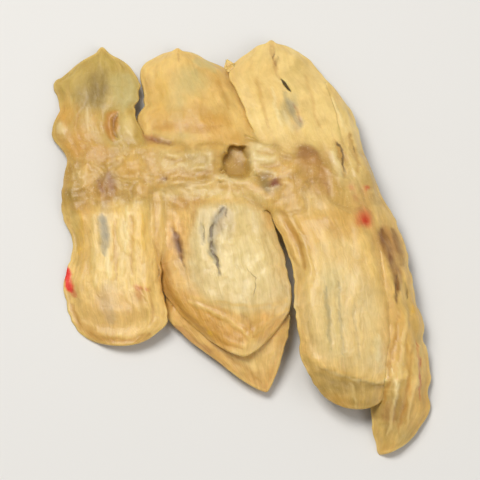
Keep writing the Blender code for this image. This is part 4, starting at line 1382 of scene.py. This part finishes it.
class Nodes:
    """A material's nodes, added one by one."""

    def __init__(self, name):
        self.material = bpy.data.materials.new(name)
        self.material.use_nodes = True
        self.tree = self.material.node_tree
        self.shader = self.tree.nodes["Principled BSDF"]

    def add(self, kind, settings=None, inputs=None, output=0):
        """A node of this kind, with its settings and what its sockets get. Returns one of its outputs."""
        node = self.tree.nodes.new(kind)
        for setting, value in (settings or {}).items():
            setattr(node, setting, value)
        for socket, value in (inputs or {}).items():
            self.plug(node.inputs[socket], value)
        return Number(self, node.outputs[output])

    def plug(self, socket, value):
        if isinstance(value, Number):
            self.tree.links.new(value.socket, socket)
        else:
            socket.default_value = value

    def mix(self, share, low, high, blend="MIX"):
        """Two colours mixed by the share."""
        settings = {"data_type": "RGBA", "blend_type": blend}
        return self.add("ShaderNodeMix", settings, {0: share, 6: low, 7: high}, 2)

    def noise(self, where, scale, detail, roughness, distortion=0.0, kind="FBM"):
        inputs = {
            "Vector": where, "Scale": scale, "Detail": detail, "Roughness": roughness,
            "Distortion": distortion,
        }
        return self.add("ShaderNodeTexNoise", {"noise_type": kind}, inputs)

    def stretched(self, where, scale):
        return self.add("ShaderNodeMapping", {}, {"Vector": where, "Scale": scale})


# A crack is (how dark, its half width in mm, the line that it follows down the slab).
CRACKS = [
    (0.75, 0.6, [(-3.4, 3.4), (-6.9, -3.1), (-7.7, -6.2), (-6.9, -13), (-5.4, -15.4), (-4.2, -21)]),
    (0.5, 0.3, [(-2.6, 3.0), (-2.2, -1.5)]),
    (0.45, 0.26, [(-10.4, -3), (-10.0, -9.5)]),
    (0.4, 0.26, [(4, -17), (7.5, -21), (6.5, -28)]),
    (0.8, 0.45, [(34.4, 25.5), (36.6, 22), (37.2, 16), (37.7, 13)]),
    (0.4, 0.3, [(39.4, 28), (41, 20)]),
    (0.5, 0.35, [(14.2, 56.5), (13.6, 53.5), (14.4, 50)]),
    (0.4, 0.3, [(-25.4, -16), (-25.0, -22)]),
    (0.5, 0.35, [(54.6, -19), (54.2, -24), (55.2, -30)]),
    (0.4, 0.3, [(57.6, -22), (58.4, -29)]),
]
CRACK_DRIFT = 2.6
CRACK_FADE = (2.0, 1.5)  # how long its lower and its upper end take to fade
CRACK_EDGE = (0.3, 1.3)  # where its sides start to fade and are gone, as shares of its half width

# The tints that the material adds, the glint tint a painted highlight, and how much of each channel its
# patterns take and leave.
PAINTED_GLINT_TINT = (0.95, 0.84, 0.55, 1)
SPECK_TINT = (0.3, 0.17, 0.06, 1)
CRACK_TINT = (0.12, 0.07, 0.025, 1)
CONTRAST = (0.95, 1.05, 1.3)
BRIGHTNESS = (0.94, 0.905, 0.76)

# How the fibre map is stretched for the threads and for the creases that run with them.
THREAD_STRETCH = (9.0, 1.3, 1)
CREASE_STRETCH = (3.6, 2.8, 1)
RIDGED = "RIDGED_MULTIFRACTAL"
FILM_BELOW, FILM_ABOVE = 4.0, 3.0  # the gut's creased film fades from here below to here above each end


def crack_mask(nodes, x, seen, half_width, line):
    """1 in a thin crack down the line, and 0 beside it."""
    at = line[0][0]
    for (start_x, high), (stop_x, low) in zip(line[:-1], line[1:]):
        inputs = {"Value": seen, "From Min": high, "From Max": low, "To Max": stop_x - start_x}
        at = nodes.add("ShaderNodeMapRange", {}, inputs) + at
    beside = (x - at).worked("ABSOLUTE")
    top, bottom = line[0][1], line[-1][1]
    ends = seen.between(bottom, bottom + CRACK_FADE[0]) * (1 - seen.between(top - CRACK_FADE[1], top))
    sharp, gone = (share * half_width for share in CRACK_EDGE)
    return (1 - beside.between(sharp, gone)) * ends


def all_cracks(nodes, place, x, seen):
    """The cracks, which drift from their lines and break off at random."""
    drift = (nodes.noise(place, 300.0, 2.0, 0.6) - 0.5) * CRACK_DRIFT
    cracks = 0
    for dark, half_width, line in CRACKS:
        cracks = crack_mask(nodes, x + drift, seen, half_width, line) * dark + cracks
    return cracks * nodes.noise(place, 330.0, 1.0, 0.5).between(0.25, 0.55)


def slab_place(nodes, place):
    """X and SEEN, in the slab's own mm, of the place that is shaded."""
    x, y, z = (nodes.add("ShaderNodeSeparateXYZ", {}, {"Vector": place}, axis) for axis in range(3))
    up = (y * (1 / MM) + ORIGIN[1]) * math.sin(LOOK_DOWN)
    return x * (1 / MM) + ORIGIN[0], up + (z * (1 / MM) + ORIGIN[2]) * math.cos(LOOK_DOWN)


def dried_flesh():
    """Waxy, slightly translucent flesh: its painted colour under fibres, creased film with painted highlight
    and shade, grain, cracks and painted glints.
    """
    nodes = Nodes("dried clam flesh")
    flesh = nodes.add("ShaderNodeAttribute", {"attribute_name": "flesh colour"})
    shown = nodes.add("ShaderNodeAttribute", {"attribute_name": "flesh colour"}, output=3)
    fibres = nodes.add("ShaderNodeUVMap", {"uv_map": "fibres"})
    place = nodes.add("ShaderNodeTexCoord", output=3)
    x, seen = slab_place(nodes, place)
    lower_lobes = 1 - seen.between(2.0, 14.0)
    past_bottom = seen.between(BAND_BOTTOM - FILM_BELOW, BAND_BOTTOM + FILM_ABOVE)
    past_top = seen.between(BAND_TOP - FILM_BELOW, BAND_TOP + FILM_ABOVE)
    gut = past_bottom * (1 - past_top) * shown

    cracks = all_cracks(nodes, place, x, seen) * shown
    threads = nodes.noise(nodes.stretched(fibres, THREAD_STRETCH), 1.0, 2.0, 0.6, 1.0)
    creases = nodes.noise(nodes.stretched(fibres, CREASE_STRETCH), 1.0, 2.0, 0.5, 0.9, RIDGED)
    film = nodes.noise(place, 230.0, 3.0, 0.6, 0.7, RIDGED).between(0.2, 1.5)
    mottle = nodes.noise(place, 320.0, 3.0, 0.55, 0.9)
    grain = nodes.noise(place, 1500.0, 2.0, 0.6)

    tone = (threads - 0.5) * (0.12 + 0.3 * lower_lobes) + (mottle - 0.5) * 0.24 + (creases - 0.5) * 0.06
    # the gut's creased film is paler on its ridges and darker between them: painted highlight and shade to go
    # with its bump
    tone = tone + (film - 0.22) * 0.34 * gut
    channels = {k: tone * CONTRAST[k] + BRIGHTNESS[k] for k in range(3)}
    shade = nodes.add("ShaderNodeCombineColor", {}, channels)
    # painted glints: pale specks in the base colour that stand in for highlights, most of them in the gut
    painted_glints = (1 - grain.between(0.28, 0.4)) * (gut * 0.2 + 0.08)
    specks = grain.between(0.66, 0.76) * mottle.between(0.5, 0.7) * 0.25
    colour = nodes.mix(1.0, flesh, shade, "MULTIPLY")
    for share, tint in ((painted_glints, PAINTED_GLINT_TINT), (specks, SPECK_TINT), (cracks, CRACK_TINT)):
        colour = nodes.mix(share, colour, tint)
    relief = threads * 0.3 + mottle * 0.4 + creases * 0.35 + grain * 0.06 - cracks * 0.8 + film * gut
    bump = nodes.add("ShaderNodeBump", {}, {"Strength": 0.6, "Distance": 0.0006, "Height": relief})

    shader = nodes.shader
    nodes.plug(shader.inputs["Base Color"], colour)
    nodes.plug(shader.inputs["Roughness"], 0.46 + (mottle - 0.5) * 0.5)
    nodes.plug(shader.inputs["Normal"], bump)
    shader.inputs["Subsurface Weight"].default_value = 0.7
    shader.inputs["Subsurface Radius"].default_value = (1.0, 0.95, 0.7)
    shader.inputs["Subsurface Scale"].default_value = 0.0011
    shader.inputs["Specular IOR Level"].default_value = 0.4
    shader.inputs["Coat Weight"].default_value = 0.16
    shader.inputs["Coat Roughness"].default_value = 0.16
    return nodes.material


slab = slab_skin()
shape_slab(slab, read_facts(slab.data))
combine(slab, torn_film(slab), "UNION")
facts = read_facts(slab.data)
paint_slab(slab, facts)
map_fibres(slab, facts)
for name in FACTS:
    slab.data.attributes.remove(slab.data.attributes[name])
slab.data.materials.clear()
slab.data.materials.append(dried_flesh())
slab.data.shade_smooth()
slab.data.calc_loop_triangles()
print("slab triangles:", len(slab.data.loop_triangles))

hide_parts("dried_razor_clam")
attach(slab, "root")


# ---- Floor, light and camera ----

FLOOR_REACH, FLOOR_COLOUR, FLOOR_ROUGHNESS = 3.0, (0.78, 0.77, 0.75, 1), 0.8
SKY_COLOUR, SKY_STRENGTH = (1.0, 0.985, 0.96, 1), 0.28
CAMERA_DISTANCE, LOOK_AT = 2.3, (0.0, 0.0, 0.009)
LENS, SENSOR, NEAREST = 512.0, 36.0, 0.05

# A light is (place, size, power, colour).
LIGHTS = {
    "key": ((-0.35, 0.35, 1.0), 0.6, 9.5, (1.0, 0.985, 0.955)),
    "fill": ((0.9, -0.5, 0.7), 0.9, 4.5, (1.0, 0.99, 0.97)),
}


def pale_floor():
    mesh = bpy.data.meshes.new("floor")
    corners = [(x * FLOOR_REACH, y * FLOOR_REACH, 0) for x, y in ((-1, -1), (1, -1), (1, 1), (-1, 1))]
    mesh.from_pydata(corners, [], [(0, 1, 2, 3)])
    nodes = Nodes("pale floor")
    nodes.shader.inputs["Base Color"].default_value = FLOOR_COLOUR
    nodes.shader.inputs["Roughness"].default_value = FLOOR_ROUGHNESS
    mesh.materials.append(nodes.material)
    floor = bpy.data.objects.new("floor", mesh)
    bpy.context.scene.collection.objects.link(floor)
    floor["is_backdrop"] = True


def soft_light(name, place, size, power, colour):
    light = bpy.data.lights.new(name, "AREA")
    light.shape = "SQUARE"
    light.size, light.energy, light.color = size, power, colour
    lamp = bpy.data.objects.new(name, light)
    lamp.location = place
    lamp.rotation_euler = (-Vector(place)).to_track_quat("-Z", "Y").to_euler()
    bpy.context.scene.collection.objects.link(lamp)


def studio():
    for name, light in LIGHTS.items():
        soft_light(name, *light)
    world = bpy.data.worlds.new("studio")
    world.use_nodes = True
    background = world.node_tree.nodes["Background"]
    background.inputs["Color"].default_value = SKY_COLOUR
    background.inputs["Strength"].default_value = SKY_STRENGTH
    bpy.context.scene.world = world
    bpy.context.scene.view_settings.view_transform = "Standard"


def camera_over(look_at):
    camera = bpy.data.cameras.new("camera")
    camera.lens, camera.sensor_width, camera.clip_start = LENS, SENSOR, NEAREST
    eye = bpy.data.objects.new("camera", camera)
    towards = Vector((0, -math.cos(LOOK_DOWN), math.sin(LOOK_DOWN)))
    eye.location = Vector(look_at) + CAMERA_DISTANCE * towards
    eye.rotation_euler = towards.to_track_quat("Z", "Y").to_euler()
    bpy.context.scene.collection.objects.link(eye)
    bpy.context.scene.camera = eye


pale_floor()
studio()
camera_over(LOOK_AT)

own_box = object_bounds()
boxes = {"cad": cad_box, "visual": own_box}
{name: [[float(v) for v in corner] for corner in box] for name, box in boxes.items()}
